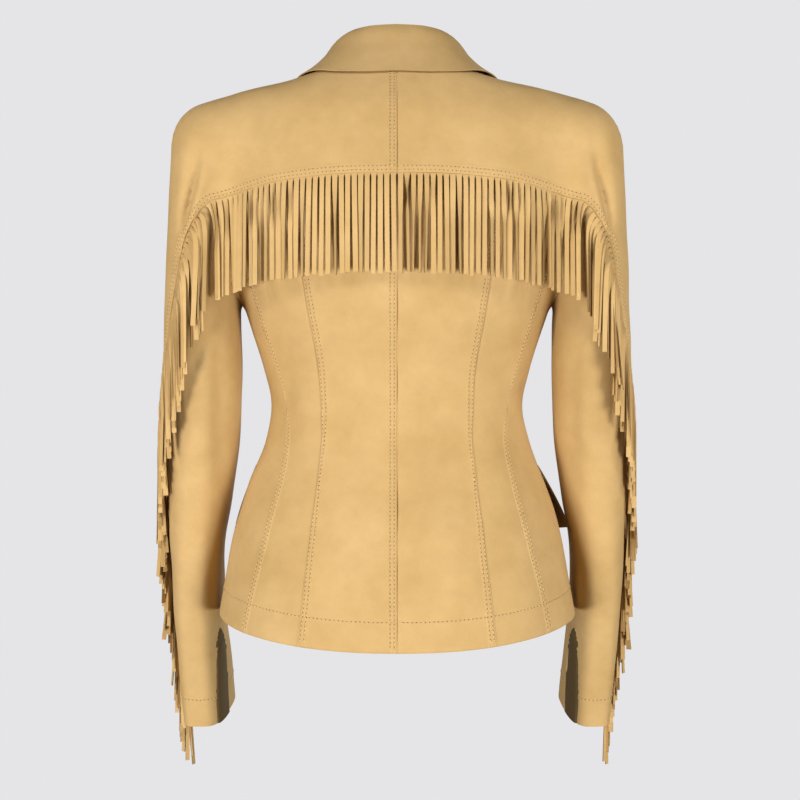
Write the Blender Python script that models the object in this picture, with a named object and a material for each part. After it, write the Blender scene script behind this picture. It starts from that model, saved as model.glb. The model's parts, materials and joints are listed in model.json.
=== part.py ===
"""A fitted suede blazer with a fringed back yoke and fringed sleeves, filled out as if worn.

Metres, +Z up. X = 0 is the middle of the garment, its back faces +Y and its front -Y, and +X is
the wearer's left. The origin lies between the shoulder tops, where the wearer holds the garment up.
The cloth follows one smooth form: horizontal torso rings and sleeve rings, melted together at the
armholes and closed by the shoulder slope. Each panel is a wall on that form between its seams.
"""
import math

import bmesh
import bpy
import numpy as np

# Cloth and seam sizes
WALL = 0.0016
SEAM_INSET = 0.00018
ARMHOLE_INSET = 0.0007
YOKE_LIFT = 0.0018
UNDERLAP_DEPTH = 0.0028
UNDERLAP_ACROSS = (0.024, 0.044)
UNDERLAP_HEIGHT = (-0.20, -0.10)
FRONT_OVERLAP = 0.013
LAYER_GAP = 0.0005

# How points are moved onto the form and rays cast at it
SLOPE_STEP = 0.0002
LEAST_SLOPE = 0.05
LONGEST_MOVE = 0.01
CAST_REACH = 0.30
CAST_START = 0.004
CAST_STEPS = 150
CAST_HALVINGS = 22
SEAT_REACH = 0.02
HEM_START_HALF_WIDTH = 0.15
HEM_START_HALF_DEPTH = 0.12
HEM_STEPS = 60

# Torso rings: how wide and how deep the body of the garment is at each height
TORSO_COLUMNS = ("height", "half_width", "back", "front", "widest", "squareness")
TORSO = np.array([
    (-0.560, 0.1830, 0.1340, -0.1370, -0.004, 2.25),
    (-0.510, 0.1765, 0.1270, -0.1330, -0.004, 2.25),
    (-0.460, 0.1680, 0.1160, -0.1300, -0.006, 2.25),
    (-0.420, 0.1600, 0.1040, -0.1260, -0.008, 2.25),
    (-0.380, 0.1470, 0.0890, -0.1200, -0.011, 2.25),
    (-0.340, 0.1320, 0.0760, -0.1130, -0.014, 2.20),
    (-0.305, 0.1265, 0.0710, -0.1100, -0.016, 2.20),
    (-0.270, 0.1335, 0.0750, -0.1150, -0.016, 2.20),
    (-0.230, 0.1460, 0.0850, -0.1270, -0.014, 2.25),
    (-0.190, 0.1580, 0.0930, -0.1280, -0.010, 2.30),
    (-0.140, 0.1700, 0.0980, -0.1120, -0.005, 2.40),
    (-0.090, 0.1820, 0.0950, -0.0930, -0.001, 2.50),
    (-0.040, 0.1900, 0.0840, -0.0760, 0.001, 2.60),
    (0.010, 0.1930, 0.0680, -0.0620, 0.001, 2.60),
    (0.070, 0.1930, 0.0520, -0.0500, 0.001, 2.60),
])

# Left sleeve rings: the sleeve hangs almost straight, with the forearm a little forward,
# and turned so that its front side lies further in than its back side
SLEEVE_COLUMNS = ("height", "inner", "outer", "back", "front", "squareness", "slant")
SLEEVE = np.array([
    (-0.680, 0.1725, 0.2110, -0.0120, -0.1130, 3.50, 0.105),
    (-0.620, 0.1740, 0.2160, -0.0080, -0.1100, 3.50, 0.090),
    (-0.560, 0.1770, 0.2220, 0.0020, -0.1030, 3.20, 0.050),
    (-0.500, 0.1795, 0.2265, 0.0140, -0.0940, 2.90, 0.015),
    (-0.440, 0.1765, 0.2290, 0.0270, -0.0840, 2.60, 0.000),
    (-0.400, 0.1685, 0.2300, 0.0360, -0.0770, 2.40, 0.000),
    (-0.340, 0.1590, 0.2310, 0.0470, -0.0690, 2.20, 0.000),
    (-0.290, 0.1560, 0.2315, 0.0540, -0.0650, 2.20, 0.000),
    (-0.240, 0.1560, 0.2305, 0.0590, -0.0640, 2.20, 0.000),
    (-0.190, 0.1580, 0.2285, 0.0620, -0.0640, 2.20, 0.000),
    (-0.140, 0.1600, 0.2260, 0.0640, -0.0640, 2.25, 0.000),
    (-0.100, 0.1600, 0.2240, 0.0640, -0.0630, 2.30, 0.000),
    (-0.060, 0.1580, 0.2225, 0.0620, -0.0600, 2.30, 0.000),
    (-0.020, 0.1550, 0.2200, 0.0580, -0.0550, 2.30, 0.000),
    (0.040, 0.1500, 0.2170, 0.0520, -0.0490, 2.30, 0.000),
])

# Shoulder slope: the height of the shoulder line at each distance from the middle
SHOULDER_COLUMNS = ("across", "height")
SHOULDER = np.array([
    (-0.040, 0.0360),
    (0.000, 0.0400),
    (0.040, 0.0360),
    (0.068, 0.0285),
    (0.106, 0.0160),
    (0.142, 0.0075),
    (0.174, -0.0010),
    (0.200, -0.0095),
    (0.240, -0.0240),
])
SHOULDER_RIDGE_DEPTH = 0.003
SHOULDER_ARCH_RADIUS = 0.085
SHOULDER_ROUNDING = 0.034

# How softly torso and sleeve run into each other at each height
MELT_COLUMNS = ("height", "melt")
MELT = np.array([
    (-0.270, 0.0006),
    (-0.225, 0.0040),
    (-0.190, 0.0140),
    (-0.150, 0.0320),
    (-0.090, 0.0420),
    (0.050, 0.0400),
])

# Hem: its height at the sides, and how much lower it hangs at back and front
HEM_SIDE_HEIGHT = -0.5120
HEM_BACK_DIP = 0.0175
HEM_FRONT_DIP = 0.0100
HEM_DEPTH = 0.130

# Seams are tables of distance across and height, or of distance across, depth and height.
# Yoke seam across the back, from the centre to the armhole
YOKE_LIP = np.array([
    (0.000, -0.0885),
    (0.040, -0.0890),
    (0.080, -0.0912),
    (0.112, -0.0945),
    (0.145, -0.1015),
    (0.178, -0.1098),
])

# Back princess seam from the hem to the yoke
PRINCESS = np.array([
    (0.0830, -0.522),
    (0.0805, -0.495),
    (0.0770, -0.456),
    (0.0735, -0.418),
    (0.0705, -0.378),
    (0.0685, -0.337),
    (0.0720, -0.292),
    (0.0780, -0.251),
    (0.0840, -0.217),
    (0.0890, -0.184),
    (0.0940, -0.140),
    (0.0980, -0.093),
])

# Side back seam from the hem towards the back armhole
SIDE_BACK = np.array([
    (0.1405, -0.514),
    (0.1330, -0.480),
    (0.1230, -0.440),
    (0.1145, -0.406),
    (0.1060, -0.369),
    (0.1025, -0.337),
    (0.1050, -0.310),
    (0.1150, -0.273),
    (0.1265, -0.238),
    (0.1350, -0.212),
])

# Front princess seam from the hem towards the front armhole
SIDE_FRONT = np.array([
    (0.1150, -0.516),
    (0.1060, -0.470),
    (0.0960, -0.420),
    (0.0870, -0.370),
    (0.0820, -0.320),
    (0.0850, -0.270),
    (0.0980, -0.225),
    (0.1220, -0.188),
    (0.1430, -0.170),
])

# Armhole seam from the yoke over the back, under the arm and up the front
ARMHOLE_BACK = np.array([
    (0.1780, 0.066, -0.1098),
    (0.1680, 0.068, -0.1320),
    (0.1600, 0.056, -0.1600),
])
ARMHOLE_UNDER = np.array([
    (0.1600, 0.056, -0.1600),
    (0.1580, 0.034, -0.1880),
    (0.1570, 0.000, -0.2030),
    (0.1580, -0.034, -0.1900),
    (0.1620, -0.060, -0.1580),
])
ARMHOLE_FRONT = np.array([
    (0.1620, -0.060, -0.1580),
    (0.1640, -0.070, -0.1250),
    (0.1700, -0.070, -0.0850),
    (0.1760, -0.058, -0.0450),
])

# Neckline from the centre back to the shoulder, and the front edge from the break to the shoulder
NECK_BACK = np.array([
    (0.000, 0.0430, 0.0330),
    (0.028, 0.0410, 0.0330),
    (0.052, 0.0300, 0.0320),
    (0.068, 0.0060, 0.0300),
])
BREAK_HEIGHT = -0.236
CELLS_BELOW_BREAK = 9
NECK_FRONT = np.array([
    (0.0180, -0.1280, -0.1700),
    (0.0400, -0.1150, -0.1050),
    (0.0600, -0.0720, -0.0300),
    (0.0700, -0.0400, 0.0100),
    (0.0680, 0.0060, 0.0300),
])

# Front shoulder seam from the neck to the armhole
SHOULDER_FRONT = np.array([
    (0.0680, 0.0060, 0.0300),
    (0.1000, -0.0240, 0.0150),
    (0.1400, -0.0460, -0.0150),
    (0.1760, -0.0580, -0.0450),
])

# Sleeve stations from the armhole to the cuff: heights and ring angles of the fringed seam on the
# outer back and of the plain seam on the inner front. Angle 0 is outwards, 90 back, -90 front.
# Columns: height and angle of the fringed seam, height and angle of the front seam.
STATIONS = np.array([
    (-0.1190, 97.0, -0.0600, -97.0),
    (-0.1300, 88.0, -0.0760, -95.0),
    (-0.1430, 79.5, -0.0930, -93.5),
    (-0.1590, 72.0, -0.1120, -93.0),
    (-0.1830, 63.5, -0.1400, -94.0),
    (-0.2130, 54.0, -0.1750, -97.0),
    (-0.2500, 38.0, -0.2180, -101.0),
    (-0.2880, 21.0, -0.2620, -105.0),
    (-0.3280, 4.0, -0.3060, -109.0),
    (-0.3680, -8.0, -0.3500, -112.0),
    (-0.4080, -17.0, -0.3940, -115.0),
    (-0.4500, -24.0, -0.4400, -117.0),
    (-0.4950, -30.0, -0.4880, -119.0),
    (-0.5400, -35.0, -0.5330, -120.0),
    (-0.5830, -40.0, -0.5750, -120.0),
    (-0.6151, -45.0, -0.6143, -120.0),
])
# Cuff: the middle of its height, and how much lower its back is than that
CUFF_HEIGHT = -0.6213
CUFF_TILT = 0.0077
RING_TURN_START = -75.0

# Line that the yoke folds over, from the centre back to the shoulder tip
YOKE_CREST = np.array([
    (0.000, 0.0800, -0.0250),
    (0.060, 0.0600, -0.0050),
    (0.130, 0.0250, 0.0060),
    (0.185, 0.0000, -0.0020),
    (0.209, -0.0050, -0.0180),
])
# Places inside the form from which the yoke's arcs are cast, at the centre and at the shoulder tip
YOKE_PIVOT_CENTRE = np.array([0.0, 0.0, -0.060])
YOKE_PIVOT_TIP = np.array([0.172, 0.0, -0.095])
SLEEVE_PIVOT_CELLS = 3

# Collar from the centre back to its front end: where it is sewn on, where it folds, and its edge
COLLAR_BASE = np.array([
    (0.000, 0.0425, 0.0345),
    (0.028, 0.0405, 0.0345),
    (0.051, 0.0290, 0.0335),
    (0.0665, 0.0060, 0.0310),
    (0.0680, -0.0260, 0.0180),
    (0.0625, -0.0590, -0.0120),
])
COLLAR_FOLD = np.array([
    (0.000, 0.0345, 0.0680),
    (0.027, 0.0315, 0.0675),
    (0.047, 0.0200, 0.0650),
    (0.0580, 0.0020, 0.0590),
    (0.0625, -0.0280, 0.0360),
    (0.0630, -0.0640, -0.0040),
])
COLLAR_EDGE = np.array([
    (0.000, 0.0700, 0.0215),
    (0.035, 0.0680, 0.0205),
    (0.068, 0.0520, 0.0185),
    (0.094, 0.0120, 0.0200),
    (0.1060, -0.0260, 0.0060),
    (0.1010, -0.0600, -0.0370),
])
COLLAR_CELLS = 12
COLLAR_FOLD_RADIUS = 0.0036
COLLAR_FOLD_WIDTH = 0.0043
COLLAR_FOLD_TURNS = (math.pi / 3, 2 * math.pi / 3)
COLLAR_FALL_SHARES = (0.33, 0.66)
COLLAR_BULGE = 0.004

# Lapel: its free edge on the front from the break to the tip, and where its roll starts and ends
LAPEL_EDGE = np.array([
    (0.012, -0.2150),
    (0.042, -0.1900),
    (0.080, -0.1500),
    (0.108, -0.1080),
    (0.124, -0.0760),
])
LAPEL_START = 0.004
LAPEL_TOP = -0.021
LAPEL_CELLS = (8, 5)
LAPEL_INSET = 0.0015
LAPEL_ROLL = 0.0040
LAPEL_ROLL_SHARE = 0.17

# Pocket flaps, lying on front and side, from the front top corner round to the side
FLAP_TOP = np.array([
    (0.0720, -0.1200, -0.3900),
    (0.1080, -0.0950, -0.3830),
    (0.1350, -0.0600, -0.3740),
    (0.1480, -0.0250, -0.3640),
])
FLAP_DEPTH = (0.0560, 0.0660)
FLAP_CELLS = (4, 7)
FLAP_STAND = 0.0022

# Buttons down the front
BUTTON_HEIGHTS = (-0.262, -0.335, -0.408)
BUTTON_RADIUS = 0.0095
BUTTON_THICKNESS = 0.0034
BUTTON_SIDES = 16
# Share of the button's radius and of its thickness, from the back round the rim to the dish
BUTTON_PROFILE = ((0.86, 0.0), (1.0, 0.25), (1.0, 0.70), (0.84, 1.0), (0.60, 0.86))

# Fringe: strips of suede cut from a narrow backing that is sewn in under the yoke seam
FRINGE_THICKNESS = 0.0008
FRINGE_LEVEL = 0.0006
FRINGE_PARTING = 0.0005
CENTRE_PARTING = 0.0003
FRINGE_BACKING = 0.0030
BACK_STRANDS = 32
BACK_STRAND_WIDTH = 0.0051
BACK_STRAND_LENGTH = 0.0920
BACK_FRINGE_END = 0.1830
SLEEVE_STRANDS = 50
SLEEVE_STRAND_WIDTH = 0.0052
SLEEVE_STRAND_LENGTH = 0.0930
SLEEVE_FRINGE_START = 0.1885
SLEEVE_FRINGE_END = -0.5940
SLEEVE_FAN = 0.100
# How far the sleeve's strands turn from outwards towards the back at parts of the way down
TURN_BACK_PARTS = (0.12, 0.35, 0.65, 1.0)
TURN_BACK = (0.0, 1.1, 0.5, 0.0)
# Turn from the seam's direction to hanging, distance from the backing, and drop, at each bend
STRAND_BENDS = ((0.5, 0.0035, 0.0030), (1.0, 0.0055, 0.0120))

# Cells along each stretch of seam, shared by the panels on both sides of it
CELLS_CENTRE = 5
CELLS_SIDE_BACK = 5
CELLS_SIDE = 8
CELLS_FRONT = 6
CELLS_NECK = 4
CELLS_LONG = 13
CELLS_ARM_BACK = 3
CELLS_ARM_FRONT = 4
CELLS_YOKE_ACROSS = 10

SUEDE = (0.74, 0.51, 0.22, 1.0)
HORN = (0.20, 0.11, 0.05, 1.0)
DOWN = np.array([0.0, 0.0, -1.0])


def column(table, names, wanted, at):
    """A smooth value of one table column at the given places of its first column."""
    at = np.asarray(at, dtype=float)
    knots = table[:, 0]
    values = table[:, names.index(wanted)]
    slopes = np.gradient(values, knots)
    at = np.clip(at, knots[0], knots[-1])
    i = np.clip(np.searchsorted(knots, at) - 1, 0, len(knots) - 2)
    step = knots[i + 1] - knots[i]
    t = (at - knots[i]) / step
    return ((2 * t**3 - 3 * t**2 + 1) * values[i] + (t**3 - 2 * t**2 + t) * step * slopes[i]
            + (3 * t**2 - 2 * t**3) * values[i + 1] + (t**3 - t**2) * step * slopes[i + 1])


def unit(v):
    """Directions of length one."""
    return v / np.maximum(np.linalg.norm(v, axis=-1, keepdims=True), 1e-12)


def ring_distance(across, depth, half_width, half_depth, squareness):
    """How far a point lies outside a ring, measured along the ray from the ring's middle."""
    reach = (np.abs(across / half_width)**squareness
             + np.abs(depth / half_depth)**squareness)**(1 / squareness)
    reach = np.maximum(reach, 1e-6)
    return np.hypot(across, depth) * (1 - 1 / reach)


def torso_distance(p):
    """How far points lie outside the torso rings."""
    z = p[..., 2]
    middle = column(TORSO, TORSO_COLUMNS, "widest", z)
    depth = p[..., 1] - middle
    back = column(TORSO, TORSO_COLUMNS, "back", z) - middle
    front = middle - column(TORSO, TORSO_COLUMNS, "front", z)
    return ring_distance(p[..., 0], depth, column(TORSO, TORSO_COLUMNS, "half_width", z),
                         np.where(depth > 0, back, front),
                         column(TORSO, TORSO_COLUMNS, "squareness", z))


def sleeve_ring(z):
    """Middle, half sizes and squareness of the left sleeve's ring at each height."""
    inner, outer, back, front, squareness = (column(SLEEVE, SLEEVE_COLUMNS, name, z)
                                             for name in SLEEVE_COLUMNS[1:6])
    return (inner + outer) / 2, (back + front) / 2, (outer - inner) / 2, (back - front) / 2, squareness


def sleeve_slant(z):
    """How far the left sleeve's ring is drawn outwards for each metre backwards, at each height."""
    return column(SLEEVE, SLEEVE_COLUMNS, "slant", z)


def sleeve_distance(p):
    """How far points lie outside the left sleeve's rings."""
    x, y, half_x, half_y, squareness = sleeve_ring(p[..., 2])
    depth = p[..., 1] - y
    across = p[..., 0] - x - sleeve_slant(p[..., 2]) * depth
    return ring_distance(across, depth, half_x, half_y, squareness)


def soft_least(a, b, melt):
    """The smaller of two distances, with the corner between them rounded."""
    share = np.clip(0.5 + 0.5 * (b - a) / melt, 0, 1)
    return b * (1 - share) + a * share - melt * share * (1 - share)


def outside(p):
    """How far points lie outside the whole form. It is zero on the outer side of the cloth."""
    p = np.array(p, dtype=float)
    p[..., 0] = np.abs(p[..., 0])
    melt = column(MELT, MELT_COLUMNS, "melt", p[..., 2])
    rings = soft_least(torso_distance(p), sleeve_distance(p), melt)
    top = column(SHOULDER, SHOULDER_COLUMNS, "height", p[..., 0])
    arch = (p[..., 1] - SHOULDER_RIDGE_DEPTH)**2 / (2 * SHOULDER_ARCH_RADIUS)
    above = p[..., 2] - top + arch
    return -soft_least(-rings, -above, SHOULDER_ROUNDING)


def slope(p):
    """Gradient of the distance at each point."""
    parts = []
    for axis in range(3):
        shift = np.zeros(3)
        shift[axis] = SLOPE_STEP
        parts.append((outside(p + shift) - outside(p - shift)) / (2 * SLOPE_STEP))
    return np.stack(parts, axis=-1)


def normal(p):
    """Outward direction at each point."""
    return unit(slope(p))


def settle(p, level=0.0, rounds=12):
    """Moves points along the slope until they lie at a level above the form."""
    p = np.array(p, dtype=float)
    for _ in range(rounds):
        g = slope(p)
        size = np.maximum((g**2).sum(axis=-1), LEAST_SLOPE)
        p = p - np.clip((outside(p) - level) / size, -LONGEST_MOVE, LONGEST_MOVE)[..., None] * g
    return p


def lifted_clear(grid, level):
    """A grid moved outwards wherever a point or the middle of a cell is below a level."""
    grid = np.where((outside(grid) < level)[..., None], settle(grid, level), grid)
    low = slice(None, -1)
    high = slice(1, None)
    for _ in range(6):
        centre = (grid[low, low] + grid[high, low] + grid[low, high] + grid[high, high]) / 4
        short = np.maximum(level - outside(centre), 0)
        push = np.zeros(grid.shape[:2])
        for corner in ((low, low), (high, low), (low, high), (high, high)):
            push[corner] = np.maximum(push[corner], short)
        grid = grid + normal(grid) * push[..., None]
    return grid


def cast(start, direction, reach=CAST_REACH):
    """Where rays that start inside the form leave it."""
    near = np.zeros(start.shape[:-1])
    far = np.full(start.shape[:-1], reach)
    found = np.zeros(start.shape[:-1], dtype=bool)
    for step in np.linspace(CAST_START, reach, CAST_STEPS):
        out = outside(start + direction * step) > 0
        far = np.where(out & ~found, step, far)
        near = np.where(~out & ~found, step, near)
        found |= out
    for _ in range(CAST_HALVINGS):
        half = (near + far) / 2
        out = outside(start + direction * half[..., None]) > 0
        far = np.where(out, half, far)
        near = np.where(out, near, half)
    return start + direction * far[..., None]


def on_side(across_height, side):
    """Points on the back (side +1) or front (side -1) at given distances across and heights."""
    rows = np.asarray(across_height, dtype=float)
    middle = column(TORSO, TORSO_COLUMNS, "widest", rows[:, 1])
    start = np.stack([rows[:, 0], middle, rows[:, 1]], axis=-1)
    return cast(start, np.array([0.0, side, 0.0]))


def on_ring(height, turn):
    """Points near the left sleeve at given heights and ring angles in radians."""
    x, y, half_x, half_y, squareness = sleeve_ring(height)
    cosine = np.cos(turn)
    sine = np.sin(turn)
    depth = half_y * np.sign(sine) * np.abs(sine)**(2 / squareness)
    across = half_x * np.sign(cosine) * np.abs(cosine)**(2 / squareness)
    px = x + across + sleeve_slant(height) * depth
    return settle(np.stack([px, y + depth, height], axis=-1))


def on_sleeve(height, degrees):
    """Points on the left sleeve at given heights and ring angles in degrees."""
    return on_ring(np.asarray(height, dtype=float), np.radians(degrees))


def ring_turn(p):
    """Ring angle of points on the left sleeve, in radians, counted up from the fringed seam."""
    x, y, half_x, half_y, squareness = sleeve_ring(p[:, 2])
    depth = (p[:, 1] - y) / half_y
    across = (p[:, 0] - x - sleeve_slant(p[:, 2]) * half_y * depth) / half_x
    turn = np.arctan2(np.sign(depth) * np.abs(depth)**(squareness / 2),
                      np.sign(across) * np.abs(across)**(squareness / 2))
    return np.where(turn < math.radians(RING_TURN_START), turn + 2 * math.pi, turn)


def smooth_line(points, count=120):
    """A smooth curve through a few points."""
    points = np.asarray(points, dtype=float)
    steps = np.r_[0, np.cumsum(np.linalg.norm(np.diff(points, axis=0), axis=1))]
    table = np.column_stack([steps, points])
    names = ("along",) + tuple(str(i) for i in range(points.shape[1]))
    at = np.linspace(0, steps[-1], count)
    return np.stack([column(table, names, name, at) for name in names[1:]], axis=-1)


def lengths(line):
    """Distance of each point along its line."""
    return np.r_[0, np.cumsum(np.linalg.norm(np.diff(line, axis=0), axis=1))]


def even(line, cells):
    """The same line with evenly spaced points."""
    steps = lengths(line)
    at = np.linspace(0, steps[-1], cells + 1)
    return along(line, at)


def along(line, at, values=None):
    """Points at given distances along a line, or there the values given for its points."""
    steps = lengths(line)
    values = line if values is None else values
    return np.stack([np.interp(at, steps, values[:, i]) for i in range(values.shape[1])], axis=-1)


def join(*lines):
    """Lines joined end to end, without the repeated points."""
    return np.vstack([lines[0]] + [line[1:] for line in lines[1:]])


def hem_height(p):
    """Height of the hem at each point's depth."""
    depth = p[..., 1] / HEM_DEPTH
    dip = np.where(depth > 0, HEM_BACK_DIP, HEM_FRONT_DIP)
    return HEM_SIDE_HEIGHT - dip * depth**2


def to_hem(p):
    """Moves points near the hem onto it, keeping their distance across."""
    p = np.array(p, dtype=float)
    across = p[..., 0].copy()
    for _ in range(6):
        p[..., 2] = hem_height(p)
        p = settle(p, rounds=3)
        p[..., 0] = across
    p[..., 2] = hem_height(p)
    return p


def hem_line(start, end, cells):
    """The hem between two points on it, going round the torso."""
    turns = np.linspace(math.atan2(start[1], start[0]), math.atan2(end[1], end[0]), HEM_STEPS)
    p = np.stack([np.cos(turns) * HEM_START_HALF_WIDTH, np.sin(turns) * HEM_START_HALF_DEPTH,
                  np.full(HEM_STEPS, HEM_SIDE_HEIGHT)], axis=-1)
    for _ in range(6):
        p = settle(p, rounds=4)
        p[:, 2] = hem_height(p)
    p = even(p, cells)
    p[0] = start
    p[-1] = end
    return p


def blended(bottom, top, left, right):
    """A grid whose inside follows its four edges."""
    u = np.linspace(0, 1, len(bottom))[None, :, None]
    v = np.linspace(0, 1, len(left))[:, None, None]
    return ((1 - v) * bottom[None] + v * top[None] + (1 - u) * left[:, None] + u * right[:, None]
            - (1 - u) * (1 - v) * bottom[0] - u * (1 - v) * bottom[-1]
            - (1 - u) * v * top[0] - u * v * top[-1])


def patch(bottom, top, left, right, level=0.0):
    """A grid between four shared edges, laid on the form."""
    grid = blended(bottom, top, left, right)
    grid[1:-1, 1:-1] = settle(grid[1:-1, 1:-1], level)
    return grid


def parted(grid, edges="bltr", inset=SEAM_INSET):
    """Draws a grid's edges in from its seams. The letters name the edges that are seams."""
    source = grid.copy()
    grid = grid.copy()
    whole = slice(None)
    places = {"b": ((0, whole), (1, whole)), "t": ((-1, whole), (-2, whole)),
              "l": ((whole, 0), (whole, 1)), "r": ((whole, -1), (whole, -2))}
    for letter in edges:
        edge, inner = places[letter]
        run = unit(np.gradient(source[edge], axis=0))
        run[[0, -1]] = 0.0
        inward = source[inner] - source[edge]
        inward = unit(inward - (inward * run).sum(axis=-1, keepdims=True) * run)
        grid[edge] += inward * inset
    return grid


def closed_sheet(outer, inner):
    """Vertices and faces of a wall between two grids."""
    rows, cols = outer.shape[:2]
    count = rows * cols
    vertices = np.vstack([outer.reshape(-1, 3), inner.reshape(-1, 3)])
    faces = []
    for i in range(rows - 1):
        for j in range(cols - 1):
            a = i * cols + j
            quad = (a, a + 1, a + cols + 1, a + cols)
            faces.append(quad)
            faces.append(tuple(count + k for k in reversed(quad)))
    rim = list(range(cols))
    rim += [i * cols + cols - 1 for i in range(1, rows)]
    rim += [(rows - 1) * cols + j for j in range(cols - 2, -1, -1)]
    rim += [i * cols for i in range(rows - 2, 0, -1)]
    for a, b in zip(rim, rim[1:] + rim[:1]):
        faces.append((b, a, count + a, count + b))
    return vertices, faces


def finish_material(name, colour, roughness):
    """A plain material in one colour."""
    material = bpy.data.materials.new(name)
    material.use_nodes = True
    shader = material.node_tree.nodes["Principled BSDF"]
    shader.inputs["Base Color"].default_value = colour
    shader.inputs["Roughness"].default_value = roughness
    shader.inputs["Metallic"].default_value = 0.0
    material.diffuse_color = colour
    return material


def add_object(name, vertices, faces, colour=SUEDE, roughness=0.9):
    """Makes one named object from a closed mesh, with its faces pointing out."""
    mesh = bpy.data.meshes.new(name)
    mesh.from_pydata([tuple(v) for v in vertices], [], faces)
    work = bmesh.new()
    work.from_mesh(mesh)
    bmesh.ops.recalc_face_normals(work, faces=work.faces)
    work.to_mesh(mesh)
    work.free()
    mesh.materials.append(finish_material(name + "_finish", colour, roughness))
    mesh.shade_smooth()
    mesh.set_sharp_from_angle(angle=math.radians(40))
    made = bpy.data.objects.new(name, mesh)
    bpy.context.scene.collection.objects.link(made)
    return made


def mirrored(points):
    """The same points on the wearer's right."""
    return points * np.array([-1.0, 1.0, 1.0])


def add_wall(name, outer, inner, flip=False):
    """A cloth wall between two grids, on the wearer's right if flipped."""
    if flip:
        outer = mirrored(outer)
        inner = mirrored(inner)
    add_object(name, *closed_sheet(outer, inner))


def add_cloth(name, grid, lift=0.0, flip=False):
    """A cloth wall whose outer side is the grid, lifted along the form's outward direction."""
    out = normal(grid)
    outer = grid + out * np.asarray(lift)[..., None]
    add_wall(name, outer, outer - out * WALL, flip)


def seams():
    """All shared seam lines of the left half, as evenly spaced points."""
    lip = on_side(smooth_line(YOKE_LIP), 1)
    split = int(np.argmin(np.abs(lip[:, 0] - PRINCESS[-1, 0])))
    lip_centre = even(lip[:split + 1], CELLS_CENTRE)
    lip_side = even(lip[split:], CELLS_SIDE_BACK)
    rows = CELLS_LONG + CELLS_ARM_BACK
    princess = on_side(smooth_line(PRINCESS), 1)
    princess[-1] = lip_side[0]
    princess[0] = to_hem(princess[0])
    centre_rows = np.column_stack([np.zeros(80), np.linspace(-0.5275, lip_centre[0, 2], 80)])
    centre_back = on_side(centre_rows, 1)
    centre_back[0] = to_hem(centre_back[0])

    arm_back = even(settle(smooth_line(ARMHOLE_BACK)), CELLS_ARM_BACK)[::-1]
    arm_under = even(settle(smooth_line(ARMHOLE_UNDER)), CELLS_SIDE)
    arm_front = even(settle(smooth_line(ARMHOLE_FRONT)), CELLS_ARM_FRONT)
    arm_back[-1] = lip_side[-1]
    arm_under[0] = arm_back[0]
    arm_front[0] = arm_under[-1]

    long_seams = []
    for table, side, end in ((SIDE_BACK, 1, arm_under[0]), (SIDE_FRONT, -1, arm_under[-1])):
        seam = settle(smooth_line(np.vstack([on_side(table, side), end])))
        seam[0] = to_hem(seam[0])
        seam = even(seam, CELLS_LONG)
        seam[-1] = end
        long_seams.append(seam)

    shoulder = even(settle(smooth_line(SHOULDER_FRONT)), CELLS_FRONT)
    shoulder[-1] = arm_front[-1]
    neck = even(settle(smooth_line(NECK_BACK)), CELLS_NECK)
    neck[0, 0] = 0.0
    shoulder[0] = neck[-1]
    return dict(lip_centre=lip_centre, lip_side=lip_side, princess=even(princess, rows),
                centre_back=even(centre_back, rows), arm_back=arm_back, arm_under=arm_under,
                arm_front=arm_front, side_back=long_seams[0], side_front=long_seams[1],
                shoulder=shoulder, neck=neck)


def add_backs(line):
    """Back centre, back side and side panels, left and right."""
    hem_centre = hem_line(line["centre_back"][0], line["princess"][0], CELLS_CENTRE)
    hem_side_back = hem_line(line["princess"][0], line["side_back"][0], CELLS_SIDE_BACK)
    hem_side = hem_line(line["side_back"][0], line["side_front"][0], CELLS_SIDE)
    outer_edge = join(line["side_back"], line["arm_back"])
    panels = {
        "back_centre": patch(hem_centre, line["lip_centre"], line["centre_back"], line["princess"]),
        "back_side": patch(hem_side_back, line["lip_side"], line["princess"], outer_edge),
        "side": patch(hem_side, line["arm_under"], line["side_back"], line["side_front"]),
    }
    for name, grid in panels.items():
        grid = parted(grid)
        add_cloth(name + "_left", grid)
        add_cloth(name + "_right", grid, flip=True)


def front_edge(line):
    """The front edge from the hem past the break of the lapel to the shoulder."""
    low = to_hem(on_side([(-FRONT_OVERLAP, -0.522)], -1)[0])
    heights = np.linspace(low[2], BREAK_HEIGHT, 40)
    straight = on_side(np.column_stack([np.full(40, -FRONT_OVERLAP), heights]), -1)
    straight[0] = low
    bend = settle(smooth_line(np.vstack([straight[-1], NECK_FRONT])))
    bend[-1] = line["shoulder"][0]
    return join(even(straight, CELLS_BELOW_BREAK),
                even(bend, CELLS_LONG + CELLS_ARM_FRONT - CELLS_BELOW_BREAK))


def hem_line_front(start, end, cells):
    """The hem from the front princess seam to the front edge."""
    across = np.linspace(start[0], end[0], 40)
    p = to_hem(on_side(np.column_stack([across, np.full(40, HEM_SIDE_HEIGHT)]), -1))
    p = even(p, cells)
    p[0] = start
    p[-1] = end
    return p


def add_fronts(line):
    """Both fronts. The right one lies over the left one at the centre."""
    side_edge = join(line["side_front"], line["arm_front"])
    edge = front_edge(line)
    hem = hem_line_front(line["side_front"][0], edge[0], CELLS_FRONT)
    grid = parted(patch(hem, line["shoulder"][::-1], side_edge, edge), "blt")
    near_edge = np.interp(grid[..., 0], UNDERLAP_ACROSS, (1, 0))
    below_break = np.interp(grid[..., 2], UNDERLAP_HEIGHT, (1, 0))
    under = near_edge * below_break
    under = under**2 * (3 - 2 * under)
    add_cloth("front_left", grid, lift=-UNDERLAP_DEPTH * under)
    add_cloth("front_right", grid, flip=True)
    return edge


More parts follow.
